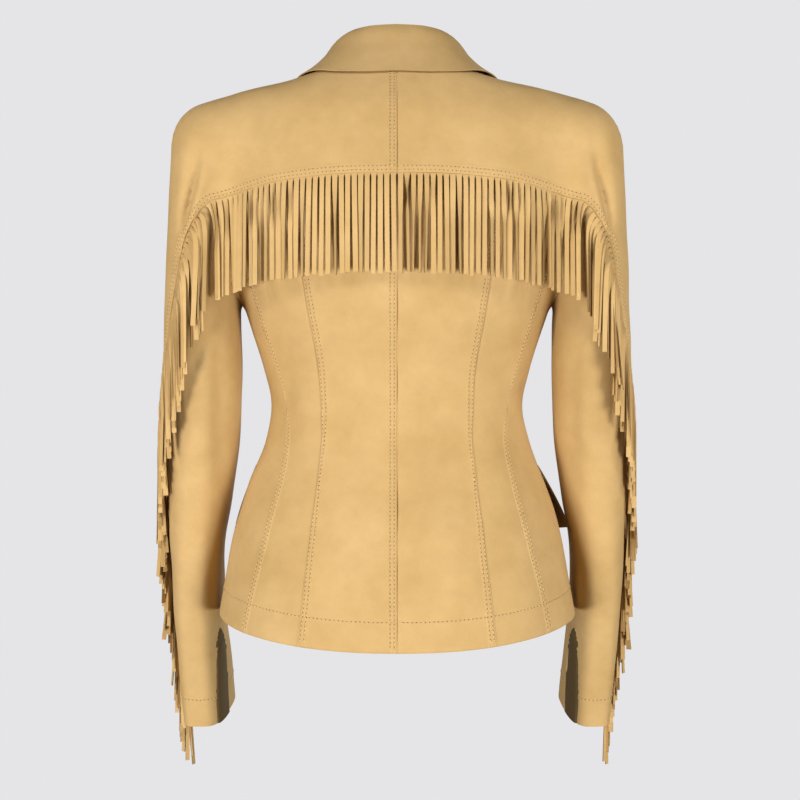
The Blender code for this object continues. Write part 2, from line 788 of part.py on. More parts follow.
def sleeve_seams(line):
    """The fringed seam and the inner front seam of the sleeve, from the armhole to the cuff."""
    seam = on_sleeve(STATIONS[:, 0], STATIONS[:, 1])
    front = on_sleeve(STATIONS[:, 2], STATIONS[:, 3])
    return np.vstack([line["lip_side"][-1], seam]), np.vstack([line["arm_front"][-1], front])


def cuff_height(degrees):
    """Height of the cuff's edge at ring angles: it is lower at the back."""
    sine = np.sin(np.radians(degrees))
    power = 2 / SLEEVE[1, SLEEVE_COLUMNS.index("squareness")]
    return CUFF_HEIGHT - CUFF_TILT * np.sign(sine) * np.abs(sine)**power


def add_under_sleeves(line, seam, front):
    """The under sleeves: the back and the inner side of each sleeve."""
    top = join(line["arm_back"][::-1], line["arm_under"], line["arm_front"])
    cells = len(top) - 1
    turns = np.linspace(STATIONS[-1, 1], 360 + STATIONS[-1, 3], 90)
    cuff = even(on_sleeve(cuff_height(turns), turns), cells)
    cuff[0] = seam[-1]
    cuff[-1] = front[-1]

    def unrolled(p):
        return np.column_stack([ring_turn(p), p[:, 2]])

    flat = blended(unrolled(top), unrolled(cuff), unrolled(seam), unrolled(front))
    grid = blended(top, cuff, seam, front)
    inside = flat[1:-1, 1:-1]
    grid[1:-1, 1:-1] = on_ring(inside[..., 1], inside[..., 0])
    grid = parted(parted(grid, "lr"), "b", ARMHOLE_INSET)
    add_cloth("under_sleeve_left", grid)
    add_cloth("under_sleeve_right", grid, flip=True)


def turn_between(a, b, share):
    """Directions between two directions, by even turning."""
    a = unit(a)
    b = unit(b)
    angle = math.acos(float(np.clip(a @ b, -1, 1)))
    share = share[:, None]
    return (np.sin((1 - share) * angle) * a + np.sin(share * angle) * b) / math.sin(angle)


def add_yokes(line, seam, front):
    """The yokes, each cut in one with its upper sleeve. Gives the fringed edge."""
    lower = join(line["lip_centre"], line["lip_side"], seam)
    upper = join(line["neck"], line["shoulder"], front)
    yoke_cells = CELLS_CENTRE + CELLS_SIDE_BACK
    crest = even(smooth_line(YOKE_CREST), yoke_cells)
    heights = (STATIONS[:, 0] + STATIONS[:, 2]) / 2
    angles = (STATIONS[:, 1] + STATIONS[:, 3]) / 2
    middle = np.vstack([crest, on_sleeve(heights, angles)])
    share = np.linspace(0, 1, 25)
    rows = []
    for k in range(len(lower)):
        if k <= yoke_cells:
            part = k / yoke_cells
            pivot = YOKE_PIVOT_CENTRE * (1 - part) + YOKE_PIVOT_TIP * part
        else:
            height = heights[k - yoke_cells - 1]
            x, y, _, _, _ = sleeve_ring(height)
            part = min((k - yoke_cells) / SLEEVE_PIVOT_CELLS, 1)
            pivot = np.array([YOKE_PIVOT_TIP[0] * (1 - part) + x * part, y * part, height])
        ways = [lower[k] - pivot, middle[k] - pivot, upper[k] - pivot]
        turns = join(turn_between(ways[0], ways[1], share), turn_between(ways[1], ways[2], share))
        arc = even(cast(np.broadcast_to(pivot, turns.shape), turns), CELLS_YOKE_ACROSS)
        arc[0] = lower[k]
        arc[-1] = upper[k]
        rows.append(arc)
    grid = parted(np.array(rows), "blr")
    across = np.linspace(0, 1, CELLS_YOKE_ACROSS + 1)
    lift = np.broadcast_to(YOKE_LIFT * (1 - across**2 * (3 - 2 * across)), grid.shape[:2])
    add_cloth("yoke_left", grid, lift=lift)
    add_cloth("yoke_right", grid, lift=lift, flip=True)
    return lower


def add_collar():
    """The collar: a stand that rises from the neckline, a fold, and a fall that lies on the yoke."""
    level = YOKE_LIFT + LAYER_GAP + WALL / 2
    half = [even(smooth_line(table), COLLAR_CELLS // 2)
            for table in (COLLAR_BASE, COLLAR_FOLD, COLLAR_EDGE)]
    half[2] = settle(half[2], level)
    base, fold, edge = (np.vstack([mirrored(line[:0:-1]), line]) for line in half)
    rise = unit(fold - base)
    fall = unit(edge - fold)
    out = unit(fall - rise)
    top = fold - rise * COLLAR_FOLD_RADIUS
    crown = fold + fall * COLLAR_FOLD_RADIUS + out * COLLAR_FOLD_WIDTH / 2
    profile = [base, (base + top) / 2, top]
    for turn in COLLAR_FOLD_TURNS:
        profile.append(top + out * COLLAR_FOLD_WIDTH * (1 - math.cos(turn)) / 2
                       + unit(rise - fall) * COLLAR_FOLD_RADIUS * math.sin(turn))
    stand_points = len(profile)
    profile.append(crown)
    for share in COLLAR_FALL_SHARES:
        bulge = COLLAR_BULGE * math.sin(math.pi * share)
        profile.append(crown * (1 - share) + edge * share + out * bulge)
    profile.append(edge)
    middle = np.stack(profile, axis=1)
    middle[:, stand_points:] = lifted_clear(middle[:, stand_points:], level)
    across = unit(np.cross(np.gradient(middle, axis=1), np.gradient(middle, axis=0)))
    add_wall("collar", middle + across * WALL / 2, middle - across * WALL / 2)


def add_lapels(edge):
    """The lapels: leaves turned back on the fronts, each with a soft roll along the front edge."""
    rows, cols = LAPEL_CELLS
    roll = edge[CELLS_BELOW_BREAK:]
    roll = smooth_line(roll[roll[:, 0] > LAPEL_START])
    roll = even(roll[roll[:, 2] < LAPEL_TOP], rows)
    free = even(on_side(smooth_line(LAPEL_EDGE), -1), rows)
    across = np.linspace(0, 1, cols + 1)[None, :, None]
    grid = roll[:, None] * (1 - across) + free[:, None] * across
    grid = settle(grid)
    out = normal(grid)
    grid[:, 0] += unit(grid[:, 1] - grid[:, 0]) * LAPEL_INSET
    roll_lift = LAPEL_ROLL * np.exp(-(np.linspace(0, 1, cols + 1) / LAPEL_ROLL_SHARE)**2)
    outer = grid + out * (2 * LAYER_GAP + WALL + roll_lift)[None, :, None]
    inner = outer - out * WALL
    add_wall("lapel_left", outer, inner)
    add_wall("lapel_right", outer, inner, flip=True)


def add_flaps():
    """The pocket flaps on front and side."""
    rows, cols = FLAP_CELLS
    top = even(settle(smooth_line(FLAP_TOP)), cols)
    drop = np.linspace(FLAP_DEPTH[0], FLAP_DEPTH[1], cols + 1)
    grid = np.array([top + DOWN * (drop * s)[:, None] for s in np.linspace(0, 1, rows + 1)])
    heights = grid[..., 2].copy()
    for _ in range(4):
        grid = settle(grid, rounds=4)
        grid[..., 2] = heights
    out = normal(grid)
    stand = np.linspace(0, FLAP_STAND, rows + 1)[:, None, None]
    outer = grid + out * (2 * LAYER_GAP + WALL + stand)
    inner = outer - out * WALL
    add_wall("pocket_flap_left", outer, inner)
    add_wall("pocket_flap_right", outer, inner, flip=True)


def seat_level(panel, place, out):
    """How high a button has to sit above a place so that its rim clears the panel."""
    side = unit(np.cross(np.array([0.0, 0.0, 1.0]), out))
    up = np.cross(out, side)
    highest = -SEAT_REACH
    for turn in np.linspace(0, 2 * math.pi, BUTTON_SIDES, endpoint=False):
        for radius in (0.0, 0.5 * BUTTON_RADIUS, BUTTON_RADIUS):
            spot = place + (side * math.cos(turn) + up * math.sin(turn)) * radius
            hit, point, _, _ = panel.ray_cast(spot + out * SEAT_REACH, -out, distance=2 * SEAT_REACH)
            if hit:
                highest = max(highest, float((np.array(point) - place) @ out))
    return highest + LAYER_GAP


def add_buttons():
    """Buttons down the front edge: domed discs that lie on the right front."""
    turns = np.linspace(0, 2 * math.pi, BUTTON_SIDES, endpoint=False)
    for number, height in enumerate(BUTTON_HEIGHTS, start=1):
        seat = on_side([(0.0, height)], -1)
        out = normal(seat)[0]
        seat = seat[0] + out * seat_level(bpy.data.objects["front_right"], seat[0], out)
        side = unit(np.cross(np.array([0.0, 0.0, 1.0]), out))
        up = np.cross(out, side)
        vertices = []
        for radius, level in BUTTON_PROFILE:
            circle = np.cos(turns)[:, None] * side + np.sin(turns)[:, None] * up
            vertices.extend(seat + circle * BUTTON_RADIUS * radius + out * BUTTON_THICKNESS * level)
        faces = [tuple(range(BUTTON_SIDES))]
        for ring in range(len(BUTTON_PROFILE) - 1):
            for i in range(BUTTON_SIDES):
                j = (i + 1) % BUTTON_SIDES
                low = ring * BUTTON_SIDES
                faces.append((low + i, low + j, low + BUTTON_SIDES + j, low + BUTTON_SIDES + i))
        faces.append(tuple(range(len(vertices) - BUTTON_SIDES, len(vertices))))
        add_object(f"button_{number}", vertices, faces, HORN, 0.35)


def add_fringe(name, edge, places, width, length, fan, turn_back):
    """One backing strip below the fringed seam with its strands, left and right.

    places are distances along the seam where one strand ends and the next begins. Each strand
    leaves the seam squarely, turns down and hangs clear of the cloth. fan spreads strands that
    hang over each other, and turn_back turns them from outwards towards the back.
    """
    station = along(edge, places)
    out = unit(along(edge, places, normal(edge)))
    run = unit(np.gradient(station, axis=0))
    away = unit(np.cross(out, run))
    low = FRINGE_LEVEL
    high = FRINGE_LEVEL + FRINGE_THICKNESS
    near = station + away * FRINGE_PARTING
    far = station + away * FRINGE_BACKING
    count = len(places)
    vertices = [*(near + out * high), *(far + out * high), *(far + out * low), *(near + out * low)]
    faces = []
    for i in range(count - 1):
        j = i + 1
        faces.append((i, j, count + j, count + i))
        faces.append((2 * count + i, 2 * count + j, 3 * count + j, 3 * count + i))
        faces.append((3 * count + i, 3 * count + j, j, i))
    for end in (0, count - 1):
        faces.append((end, count + end, 2 * count + end, 3 * count + end))

    middle = (far[:-1] + far[1:]) / 2
    lead = unit(away[:-1] + away[1:])
    face_out = unit(out[:-1] + out[1:])
    facing = unit(face_out + lead * turn_back[:, None])
    wide = unit(np.cross(DOWN, facing))
    thick = unit(np.cross(wide, DOWN))
    root_run = unit(run[:-1] + run[1:])
    sag = lead * (1 - np.clip(-lead[:, 2:], 0, 1))
    rings = []
    for turn, reach, drop in (*STRAND_BENDS, (1.0, STRAND_BENDS[-1][1], length)):
        across = unit(root_run * (1 - turn) + wide * turn)
        through = unit(face_out * (1 - turn) + thick * turn)
        centre = middle + face_out * (low + high) / 2 + sag * reach + DOWN * drop + thick * fan * drop
        rings.append((turn, centre, across, through))
    push = unit(face_out * np.array([1.0, 1.0, 0.0]))
    clear = hang_clearance(rings, push, width)
    for i in range(count - 1):
        previous = (count + i, count + i + 1, 2 * count + i + 1, 2 * count + i)
        for turn, centre, across, through in rings:
            at = centre[i] + push[i] * clear[i] * turn
            side = across[i] * width / 2
            depth = through[i] * FRINGE_THICKNESS / 2
            ids = tuple(range(len(vertices), len(vertices) + 4))
            vertices.extend([at - side + depth, at + side + depth, at + side - depth, at - side - depth])
            for a in range(4):
                b = (a + 1) % 4
                faces.append((previous[a], previous[b], ids[b], ids[a]))
            previous = ids
        faces.append(previous)
    vertices = np.array(vertices)
    add_object(name + "_left", vertices, faces)
    add_object(name + "_right", mirrored(vertices), faces)


def hang_clearance(rings, push, width):
    """How far each strand has to stand off so that it hangs clear of the cloth below its root."""
    level = FRINGE_LEVEL + FRINGE_THICKNESS
    clear = np.zeros(len(push))
    samples = []
    for (_, start, across, _), (_, end, _, _) in zip(rings, rings[1:]):
        for share in np.linspace(0, 1, 8):
            for side in (-0.5, 0.5):
                samples.append(start * (1 - share) + end * share + across * side * width)
    for _ in range(12):
        gaps = [outside(sample + push * clear[:, None]) for sample in samples]
        clear = clear + np.maximum(level - np.min(gaps, axis=0), -clear)
    return clear


def add_fringes(edge):
    """Fringe below the yoke across the back, and down both sleeves."""
    steps = lengths(edge)
    dense = along(edge, np.linspace(0, steps[-1], 4000))
    dense_steps = np.linspace(0, steps[-1], 4000)
    yoke_part = dense_steps < steps[CELLS_CENTRE + CELLS_SIDE_BACK + 2]
    back_end = dense_steps[np.argmin(np.where(yoke_part, np.abs(dense[:, 0] - BACK_FRINGE_END), 9.0))]
    sleeve_start = dense_steps[np.argmin(np.where(yoke_part, np.abs(dense[:, 0] - SLEEVE_FRINGE_START), 9.0))]
    sleeve_end = dense_steps[np.argmin(np.abs(dense[:, 2] - SLEEVE_FRINGE_END))]
    back = np.linspace(CENTRE_PARTING, back_end, BACK_STRANDS + 1)
    sleeve = np.linspace(sleeve_start, sleeve_end, SLEEVE_STRANDS + 1)
    add_fringe("fringe_back", edge, back, BACK_STRAND_WIDTH, BACK_STRAND_LENGTH, 0.0,
               np.zeros(BACK_STRANDS))
    turn_back = np.interp(np.linspace(0, 1, SLEEVE_STRANDS), TURN_BACK_PARTS, TURN_BACK)
    add_fringe("fringe_sleeve", edge, sleeve, SLEEVE_STRAND_WIDTH, SLEEVE_STRAND_LENGTH, SLEEVE_FAN,
               turn_back)


def main():
    for old in list(bpy.data.objects):
        bpy.data.objects.remove(old, do_unlink=True)
    line = seams()
    seam, front = sleeve_seams(line)
    add_backs(line)
    edge = add_fronts(line)
    add_under_sleeves(line, seam, front)
    fringed_edge = add_yokes(line, seam, front)
    add_collar()
    add_lapels(edge)
    add_flaps()
    add_buttons()
    add_fringes(fringed_edge)


main()
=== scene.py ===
"""The looks of a fitted suede blazer with a fringed back yoke and fringed sleeves.

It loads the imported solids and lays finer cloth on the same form, with seams that roll in, raised
seam allowances, rows of stitches, soft folds and fringe cut strand by strand. Metres, +Z up. X = 0
is the middle of the garment, its back faces +Y, and +X is the wearer's left.
"""
import json
import math

import bmesh
import bpy
import numpy as np
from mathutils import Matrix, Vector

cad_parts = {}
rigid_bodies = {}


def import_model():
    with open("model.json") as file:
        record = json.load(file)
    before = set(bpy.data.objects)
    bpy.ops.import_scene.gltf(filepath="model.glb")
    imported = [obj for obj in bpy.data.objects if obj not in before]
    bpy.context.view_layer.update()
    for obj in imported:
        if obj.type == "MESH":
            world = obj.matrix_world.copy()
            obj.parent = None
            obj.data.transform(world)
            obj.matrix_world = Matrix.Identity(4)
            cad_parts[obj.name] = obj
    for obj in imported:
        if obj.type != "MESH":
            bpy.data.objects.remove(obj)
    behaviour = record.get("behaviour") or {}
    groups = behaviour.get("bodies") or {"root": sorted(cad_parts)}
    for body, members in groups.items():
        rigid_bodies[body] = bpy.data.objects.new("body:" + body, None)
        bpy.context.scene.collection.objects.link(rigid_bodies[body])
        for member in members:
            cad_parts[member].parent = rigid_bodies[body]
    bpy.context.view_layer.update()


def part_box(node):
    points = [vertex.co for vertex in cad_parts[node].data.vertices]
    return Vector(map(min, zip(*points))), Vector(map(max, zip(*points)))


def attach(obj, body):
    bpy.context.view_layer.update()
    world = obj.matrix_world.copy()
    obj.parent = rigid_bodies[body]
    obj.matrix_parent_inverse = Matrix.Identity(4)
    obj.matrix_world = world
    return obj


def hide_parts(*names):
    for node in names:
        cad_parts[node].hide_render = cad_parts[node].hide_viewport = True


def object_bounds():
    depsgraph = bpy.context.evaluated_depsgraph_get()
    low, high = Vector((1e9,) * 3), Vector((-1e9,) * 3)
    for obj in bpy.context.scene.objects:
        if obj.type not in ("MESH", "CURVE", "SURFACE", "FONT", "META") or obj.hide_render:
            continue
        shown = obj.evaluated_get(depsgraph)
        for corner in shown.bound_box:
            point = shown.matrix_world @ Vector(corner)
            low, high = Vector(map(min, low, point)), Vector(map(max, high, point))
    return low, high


for old in list(bpy.data.objects):
    bpy.data.objects.remove(old, do_unlink=True)
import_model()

# Sides and directions. Tables and grids are for the wearer's left, and are mirrored for the right.
SIDES = {1: "left", -1: "right"}
BACKWARDS = np.array([0.0, 1.0, 0.0])
DOWN = np.array([0.0, 0.0, -1.0])

# Cloth and layers
WALL = 0.0016
SEAM_INSET = 0.00002
YOKE_LIFT = 0.0018
UNDERLAP_DEPTH = 0.0028
UNDERLAP_ACROSS = (0.024, 0.044)
UNDERLAP_HEIGHT = (-0.20, -0.10)
FRONT_OVERLAP = 0.013
LAYER_GAP = 0.0005

# Mesh: size of a plain cell, and distances of the closer rows beside a plain and a stitched edge
CELL = 0.0042
PLAIN_EDGE = (0.0006, 0.0014, 0.0026)
STITCHED_EDGE = (0.0005, 0.0011, 0.0018, 0.0023, 0.0028, 0.0033, 0.0040, 0.0052, 0.0061, 0.0066, 0.0071,
                 0.0078, 0.0090, 0.0108)

# Seam relief: the edge rolls in, the seam allowance lifts the cloth, and stitches pull it down
ROLL_DEPTH = 0.0009
ROLL_WIDTH = 0.0009
ALLOWANCE_HEIGHT = 0.0007
ALLOWANCE_WIDTH = 0.0082
ALLOWANCE_FADE = 0.0024
STITCH_ROWS = (0.0027, 0.0066)
STITCH_SINK = 0.00045
STITCH_TROUGH = 0.0007
FREE_ROLL = 0.6

# Stitches
STITCH_PITCH = 0.0040
STITCH_LENGTH = 0.0029
STITCH_RADIUS = 0.00042
HEM_STITCH_ROW = (0.0280,)
EDGE_STITCH_ROW = (0.0040,)

# How points are moved onto the form and rays cast at it
SLOPE_STEP = 0.0002
LEAST_SLOPE = 0.05
LONGEST_MOVE = 0.01
CAST_REACH = 0.30
CAST_START = 0.004
CAST_STEPS = 150
CAST_HALVINGS = 22
SETTLE_ROUNDS = 12
SHORT_SETTLE = 3
LONGER_SETTLE = 4
FLAP_ROUNDS = 4
HEM_ROUNDS = 6
CLEAR_ROUNDS = 6
HANG_ROUNDS = 12
FAR_AWAY = 9.0
HEM_START_HALF_WIDTH = 0.15
HEM_START_HALF_DEPTH = 0.12
HEM_STEPS = 60

# Torso rings: how wide and how deep the body of the garment is at each height
TORSO_COLUMNS = ("height", "half_width", "back", "front", "widest", "squareness")
TORSO = np.array([
    (-0.56, 0.183, 0.134, -0.137, -0.004, 2.25), (-0.51, 0.1765, 0.127, -0.133, -0.004, 2.25),
    (-0.46, 0.168, 0.116, -0.13, -0.006, 2.25), (-0.42, 0.16, 0.104, -0.126, -0.008, 2.25),
    (-0.38, 0.147, 0.089, -0.12, -0.011, 2.25), (-0.34, 0.132, 0.076, -0.113, -0.014, 2.2),
    (-0.305, 0.1265, 0.071, -0.11, -0.016, 2.2), (-0.27, 0.1335, 0.075, -0.115, -0.016, 2.2),
    (-0.23, 0.146, 0.085, -0.127, -0.014, 2.25), (-0.19, 0.158, 0.093, -0.128, -0.01, 2.3),
    (-0.14, 0.17, 0.098, -0.112, -0.005, 2.4), (-0.09, 0.182, 0.095, -0.093, -0.001, 2.5),
    (-0.04, 0.19, 0.084, -0.076, 0.001, 2.6), (0.01, 0.193, 0.068, -0.062, 0.001, 2.6),
    (0.07, 0.193, 0.052, -0.05, 0.001, 2.6),
])

# Left sleeve rings: the sleeve hangs almost straight, with the forearm a little forward,
# and turned so that its front side lies further in than its back side
SLEEVE_COLUMNS = ("height", "inner", "outer", "back", "front", "squareness", "slant")
SLEEVE = np.array([
    (-0.68, 0.1725, 0.211, -0.012, -0.113, 3.5, 0.105), (-0.62, 0.174, 0.216, -0.008, -0.11, 3.5, 0.09),
    (-0.56, 0.177, 0.222, 0.002, -0.103, 3.2, 0.05), (-0.5, 0.1795, 0.2265, 0.014, -0.094, 2.9, 0.015),
    (-0.44, 0.1765, 0.229, 0.027, -0.084, 2.6, 0.0), (-0.4, 0.1685, 0.23, 0.036, -0.077, 2.4, 0.0),
    (-0.34, 0.159, 0.231, 0.047, -0.069, 2.2, 0.0), (-0.29, 0.156, 0.2315, 0.054, -0.065, 2.2, 0.0),
    (-0.24, 0.156, 0.2305, 0.059, -0.064, 2.2, 0.0), (-0.19, 0.158, 0.2285, 0.062, -0.064, 2.2, 0.0),
    (-0.14, 0.16, 0.226, 0.064, -0.064, 2.25, 0.0), (-0.1, 0.16, 0.224, 0.064, -0.063, 2.3, 0.0),
    (-0.06, 0.158, 0.2225, 0.062, -0.06, 2.3, 0.0), (-0.02, 0.155, 0.22, 0.058, -0.055, 2.3, 0.0),
    (0.04, 0.15, 0.217, 0.052, -0.049, 2.3, 0.0),
])

# Shoulder slope: the height of the shoulder line at each distance from the middle
SHOULDER_COLUMNS = ("across", "height")
SHOULDER = np.array([
    (-0.04, 0.036), (0.0, 0.04), (0.04, 0.036), (0.068, 0.0285), (0.106, 0.016), (0.142, 0.0075),
    (0.174, -0.001), (0.2, -0.0095), (0.24, -0.024),
])
SHOULDER_RIDGE_DEPTH = 0.003
SHOULDER_ARCH_RADIUS = 0.085
SHOULDER_ROUNDING = 0.034

# How softly torso and sleeve run into each other at each height
MELT_COLUMNS = ("height", "melt")
MELT = np.array([
    (-0.27, 0.0006), (-0.225, 0.004), (-0.19, 0.014), (-0.15, 0.032), (-0.09, 0.042), (0.05, 0.04),
])

# Hem: its height at the sides, and how much lower it hangs at back and front
HEM_SIDE_HEIGHT = -0.5120
HEM_BACK_DIP = 0.0175
HEM_FRONT_DIP = 0.0100
HEM_DEPTH = 0.130
CENTRE_BACK_LOW = -0.5275
FRONT_LOW = -0.522

# Seams are tables of distance across and height, or of distance across, depth and height.
# Yoke seam across the back, from the centre to the armhole
YOKE_LIP = np.array([
    (0.0, -0.0885), (0.04, -0.089), (0.08, -0.0912), (0.112, -0.0945), (0.145, -0.1015),
    (0.178, -0.1098),
])

# Back princess seam from the hem to the yoke
PRINCESS = np.array([
    (0.083, -0.522), (0.0805, -0.495), (0.077, -0.456), (0.0735, -0.418), (0.0705, -0.378),
    (0.0685, -0.337), (0.072, -0.292), (0.078, -0.251), (0.084, -0.217), (0.089, -0.184),
    (0.094, -0.14), (0.098, -0.093),
])

# Side back seam from the hem towards the back armhole
SIDE_BACK = np.array([
    (0.1405, -0.514), (0.133, -0.48), (0.123, -0.44), (0.1145, -0.406), (0.106, -0.369),
    (0.1025, -0.337), (0.105, -0.31), (0.115, -0.273), (0.1265, -0.238), (0.135, -0.212),
])

# Front princess seam from the hem towards the front armhole
SIDE_FRONT = np.array([
    (0.115, -0.516), (0.106, -0.47), (0.096, -0.42), (0.087, -0.37), (0.082, -0.32), (0.085, -0.27),
    (0.098, -0.225), (0.122, -0.188), (0.143, -0.17),
])

# Armhole seam from the yoke over the back, under the arm and up the front
ARMHOLE_BACK = np.array([
    (0.178, 0.066, -0.1098), (0.168, 0.068, -0.132), (0.16, 0.056, -0.16),
])
ARMHOLE_UNDER = np.array([
    (0.16, 0.056, -0.16), (0.158, 0.034, -0.188), (0.157, 0.0, -0.203), (0.158, -0.034, -0.19),
    (0.162, -0.06, -0.158),
])
ARMHOLE_FRONT = np.array([
    (0.162, -0.06, -0.158), (0.164, -0.07, -0.125), (0.17, -0.07, -0.085), (0.176, -0.058, -0.045),
])

# Neckline from the centre back to the shoulder, and the front edge from the break to the shoulder
NECK_BACK = np.array([
    (0.0, 0.043, 0.033), (0.028, 0.041, 0.033), (0.052, 0.03, 0.032), (0.068, 0.006, 0.03),
])
BREAK_HEIGHT = -0.236
NECK_FRONT = np.array([
    (0.018, -0.128, -0.17), (0.04, -0.115, -0.105), (0.06, -0.072, -0.03), (0.07, -0.04, 0.01),
    (0.068, 0.006, 0.03),
])

# Front shoulder seam from the neck to the armhole
SHOULDER_FRONT = np.array([
    (0.068, 0.006, 0.03), (0.1, -0.024, 0.015), (0.14, -0.046, -0.015), (0.176, -0.058, -0.045),
])

# Sleeve stations from the armhole to the cuff: heights and ring angles of the fringed seam on the
# outer back and of the plain seam on the inner front. Angle 0 is outwards, 90 back, -90 front.
# Columns: height and angle of the fringed seam, height and angle of the front seam.
STATIONS = np.array([
    (-0.119, 97.0, -0.06, -97.0), (-0.13, 88.0, -0.076, -95.0), (-0.143, 79.5, -0.093, -93.5),
    (-0.159, 72.0, -0.112, -93.0), (-0.183, 63.5, -0.14, -94.0), (-0.213, 54.0, -0.175, -97.0),
    (-0.25, 38.0, -0.218, -101.0), (-0.288, 21.0, -0.262, -105.0), (-0.328, 4.0, -0.306, -109.0),
    (-0.368, -8.0, -0.35, -112.0), (-0.408, -17.0, -0.394, -115.0), (-0.45, -24.0, -0.44, -117.0),
    (-0.495, -30.0, -0.488, -119.0), (-0.54, -35.0, -0.533, -120.0), (-0.583, -40.0, -0.575, -120.0),
    (-0.6151, -45.0, -0.6143, -120.0),
])
# Cuff: the middle of its height, and how much lower its back is than that
CUFF_HEIGHT = -0.6213
CUFF_TILT = 0.0077
RING_TURN_START = -75.0

# Line that the yoke folds over, from the centre back to the shoulder tip
YOKE_CREST = np.array([
    (0.0, 0.08, -0.025), (0.06, 0.06, -0.005), (0.13, 0.025, 0.006), (0.185, 0.0, -0.002),
    (0.209, -0.005, -0.018),
])
# Places inside the form from which the yoke's arcs are cast, at the centre and at the shoulder tip
YOKE_PIVOT_CENTRE = np.array([0.0, 0.0, -0.060])
YOKE_PIVOT_TIP = np.array([0.172, 0.0, -0.095])
SLEEVE_PIVOT_CELLS = 3

# Collar from the centre back to its front end: where it is sewn on, where it folds, and its edge
COLLAR_BASE = np.array([
    (0.0, 0.0425, 0.0345), (0.028, 0.0405, 0.0345), (0.051, 0.029, 0.0335), (0.0665, 0.006, 0.031),
    (0.068, -0.026, 0.018), (0.0625, -0.059, -0.012),
])
COLLAR_FOLD = np.array([
    (0.0, 0.0345, 0.068), (0.027, 0.0315, 0.0675), (0.047, 0.02, 0.065), (0.058, 0.002, 0.059),
    (0.0625, -0.028, 0.036), (0.063, -0.064, -0.004),
])
COLLAR_EDGE = np.array([
    (0.0, 0.07, 0.0215), (0.035, 0.068, 0.0205), (0.068, 0.052, 0.0185), (0.094, 0.012, 0.02),
    (0.106, -0.026, 0.006), (0.101, -0.06, -0.037),
])
COLLAR_FOLD_RADIUS = 0.0036
COLLAR_FOLD_WIDTH = 0.0043
COLLAR_FOLD_TURNS = (math.pi / 3, 2 * math.pi / 3)
COLLAR_FALL_SHARES = (0.33, 0.66)
COLLAR_BULGE = 0.004
COLLAR_FALL_START = 0.55
COLLAR_SMOOTHINGS = 3

# Lapel: its free edge on the front from the break to the tip, and where its roll starts and ends
LAPEL_EDGE = np.array([
    (0.012, -0.215), (0.042, -0.19), (0.08, -0.15), (0.108, -0.108), (0.124, -0.076),
])
LAPEL_START = 0.004
LAPEL_TOP = -0.021
LAPEL_INSET = 0.0015
LAPEL_ROLL = 0.0040
LAPEL_ROLL_SHARE = 0.17

# Pocket flaps, lying on front and side, from the front top corner round to the side
FLAP_TOP = np.array([
    (0.072, -0.12, -0.39), (0.108, -0.095, -0.383), (0.135, -0.06, -0.374), (0.148, -0.025, -0.364),
])
FLAP_DEPTH = (0.0560, 0.0660)
FLAP_STAND = 0.0022
RIGHT_FLAP_FLARE = 0.011

# Buttons down the front
BUTTON_HEIGHTS = (-0.262, -0.335, -0.408)
BUTTON_RADIUS = 0.0095
BUTTON_THICKNESS = 0.0034

# Finer cells of the pieces that the part makes with few
DENSE = 240
FOLD_STEPS = 24
START_STEPS = 12
FRONT_HEM_STEPS = 40
CUFF_STEPS = 90
ARC_STEPS = 30
STATION_STEPS = 8
LIP_CELLS = 5
NECK_CELLS = 4
BACK_SIDE_ROWS = 88
FRONT_SIDE_ROWS = 100
COLLAR_FINE_CELLS = 120
COLLAR_CELL = 0.0028
LAPEL_CELLS = (0.0028, 0.0035)
FLAP_CELL = 0.0030
YOKE_CELL = 0.0025

# Angles in degrees from which an edge is drawn sharp
CLOTH_SHARP = 55.0
STITCH_SHARP = 80.0
BUTTON_SHARP = 40.0
THREAD_SHARP = 30.0
STRAND_SHARP = 50.0

# Widths and heights that the cells of each panel are counted from
BACK_CENTRE_SIZE = (0.085, 0.43)
BACK_SIDE_WIDTH = 0.062
SIDE_SIZE = (0.19, 0.33)
FRONT_SIZE = (0.13, 0.55)
UNDER_SLEEVE_SIZE = (0.27, 0.50)
YOKE_SIZE = (0.185, 0.15)
UPPER_SLEEVE_LENGTH = 0.53
COLLAR_WIDTH = 0.075
LAPEL_SIZE = (0.06, 0.20)
FLAP_SIZE = (0.12, 0.06)

# Buttons and stitches, finer than in the part
BUTTON_FINE_SIDES = 40
BUTTON_FINE_PROFILE = ((0.80, 0.0), (0.93, 0.06), (1.0, 0.26), (1.0, 0.60), (0.97, 0.80), (0.90, 0.95),
                       (0.80, 1.0), (0.70, 0.97), (0.62, 0.86), (0.56, 0.80), (0.02, 0.78))
STITCH_SIDES = 6
STITCH_RUN_STEP = 0.001
STITCH_PROFILE = ((-0.50, 0.30), (-0.36, 0.90), (0.36, 0.90), (0.50, 0.30))
# Stitches, and dark beads between them that are a painted shade for the stitch holes' pits: their size
# beside the template, their shift along the row and their rise
STITCH_PLACE = ((1.0, 1.0, 1.0), 0.0, 0.35)
HOLE_SHADE_PLACE = ((0.30, 1.15, 0.9), 0.5, 0.0)
THREAD_REACH = 0.0022
THREAD_APART = 0.00022
THREAD_RISE = 0.0002
THREAD_HALF_WIDTH = 0.00018
THREAD_HALF_DEPTH = 0.0003
BOX_FACES = ((0, 1, 2, 3), (4, 5, 6, 7), (0, 1, 5, 4), (1, 2, 6, 5), (2, 3, 7, 6), (3, 0, 4, 7))

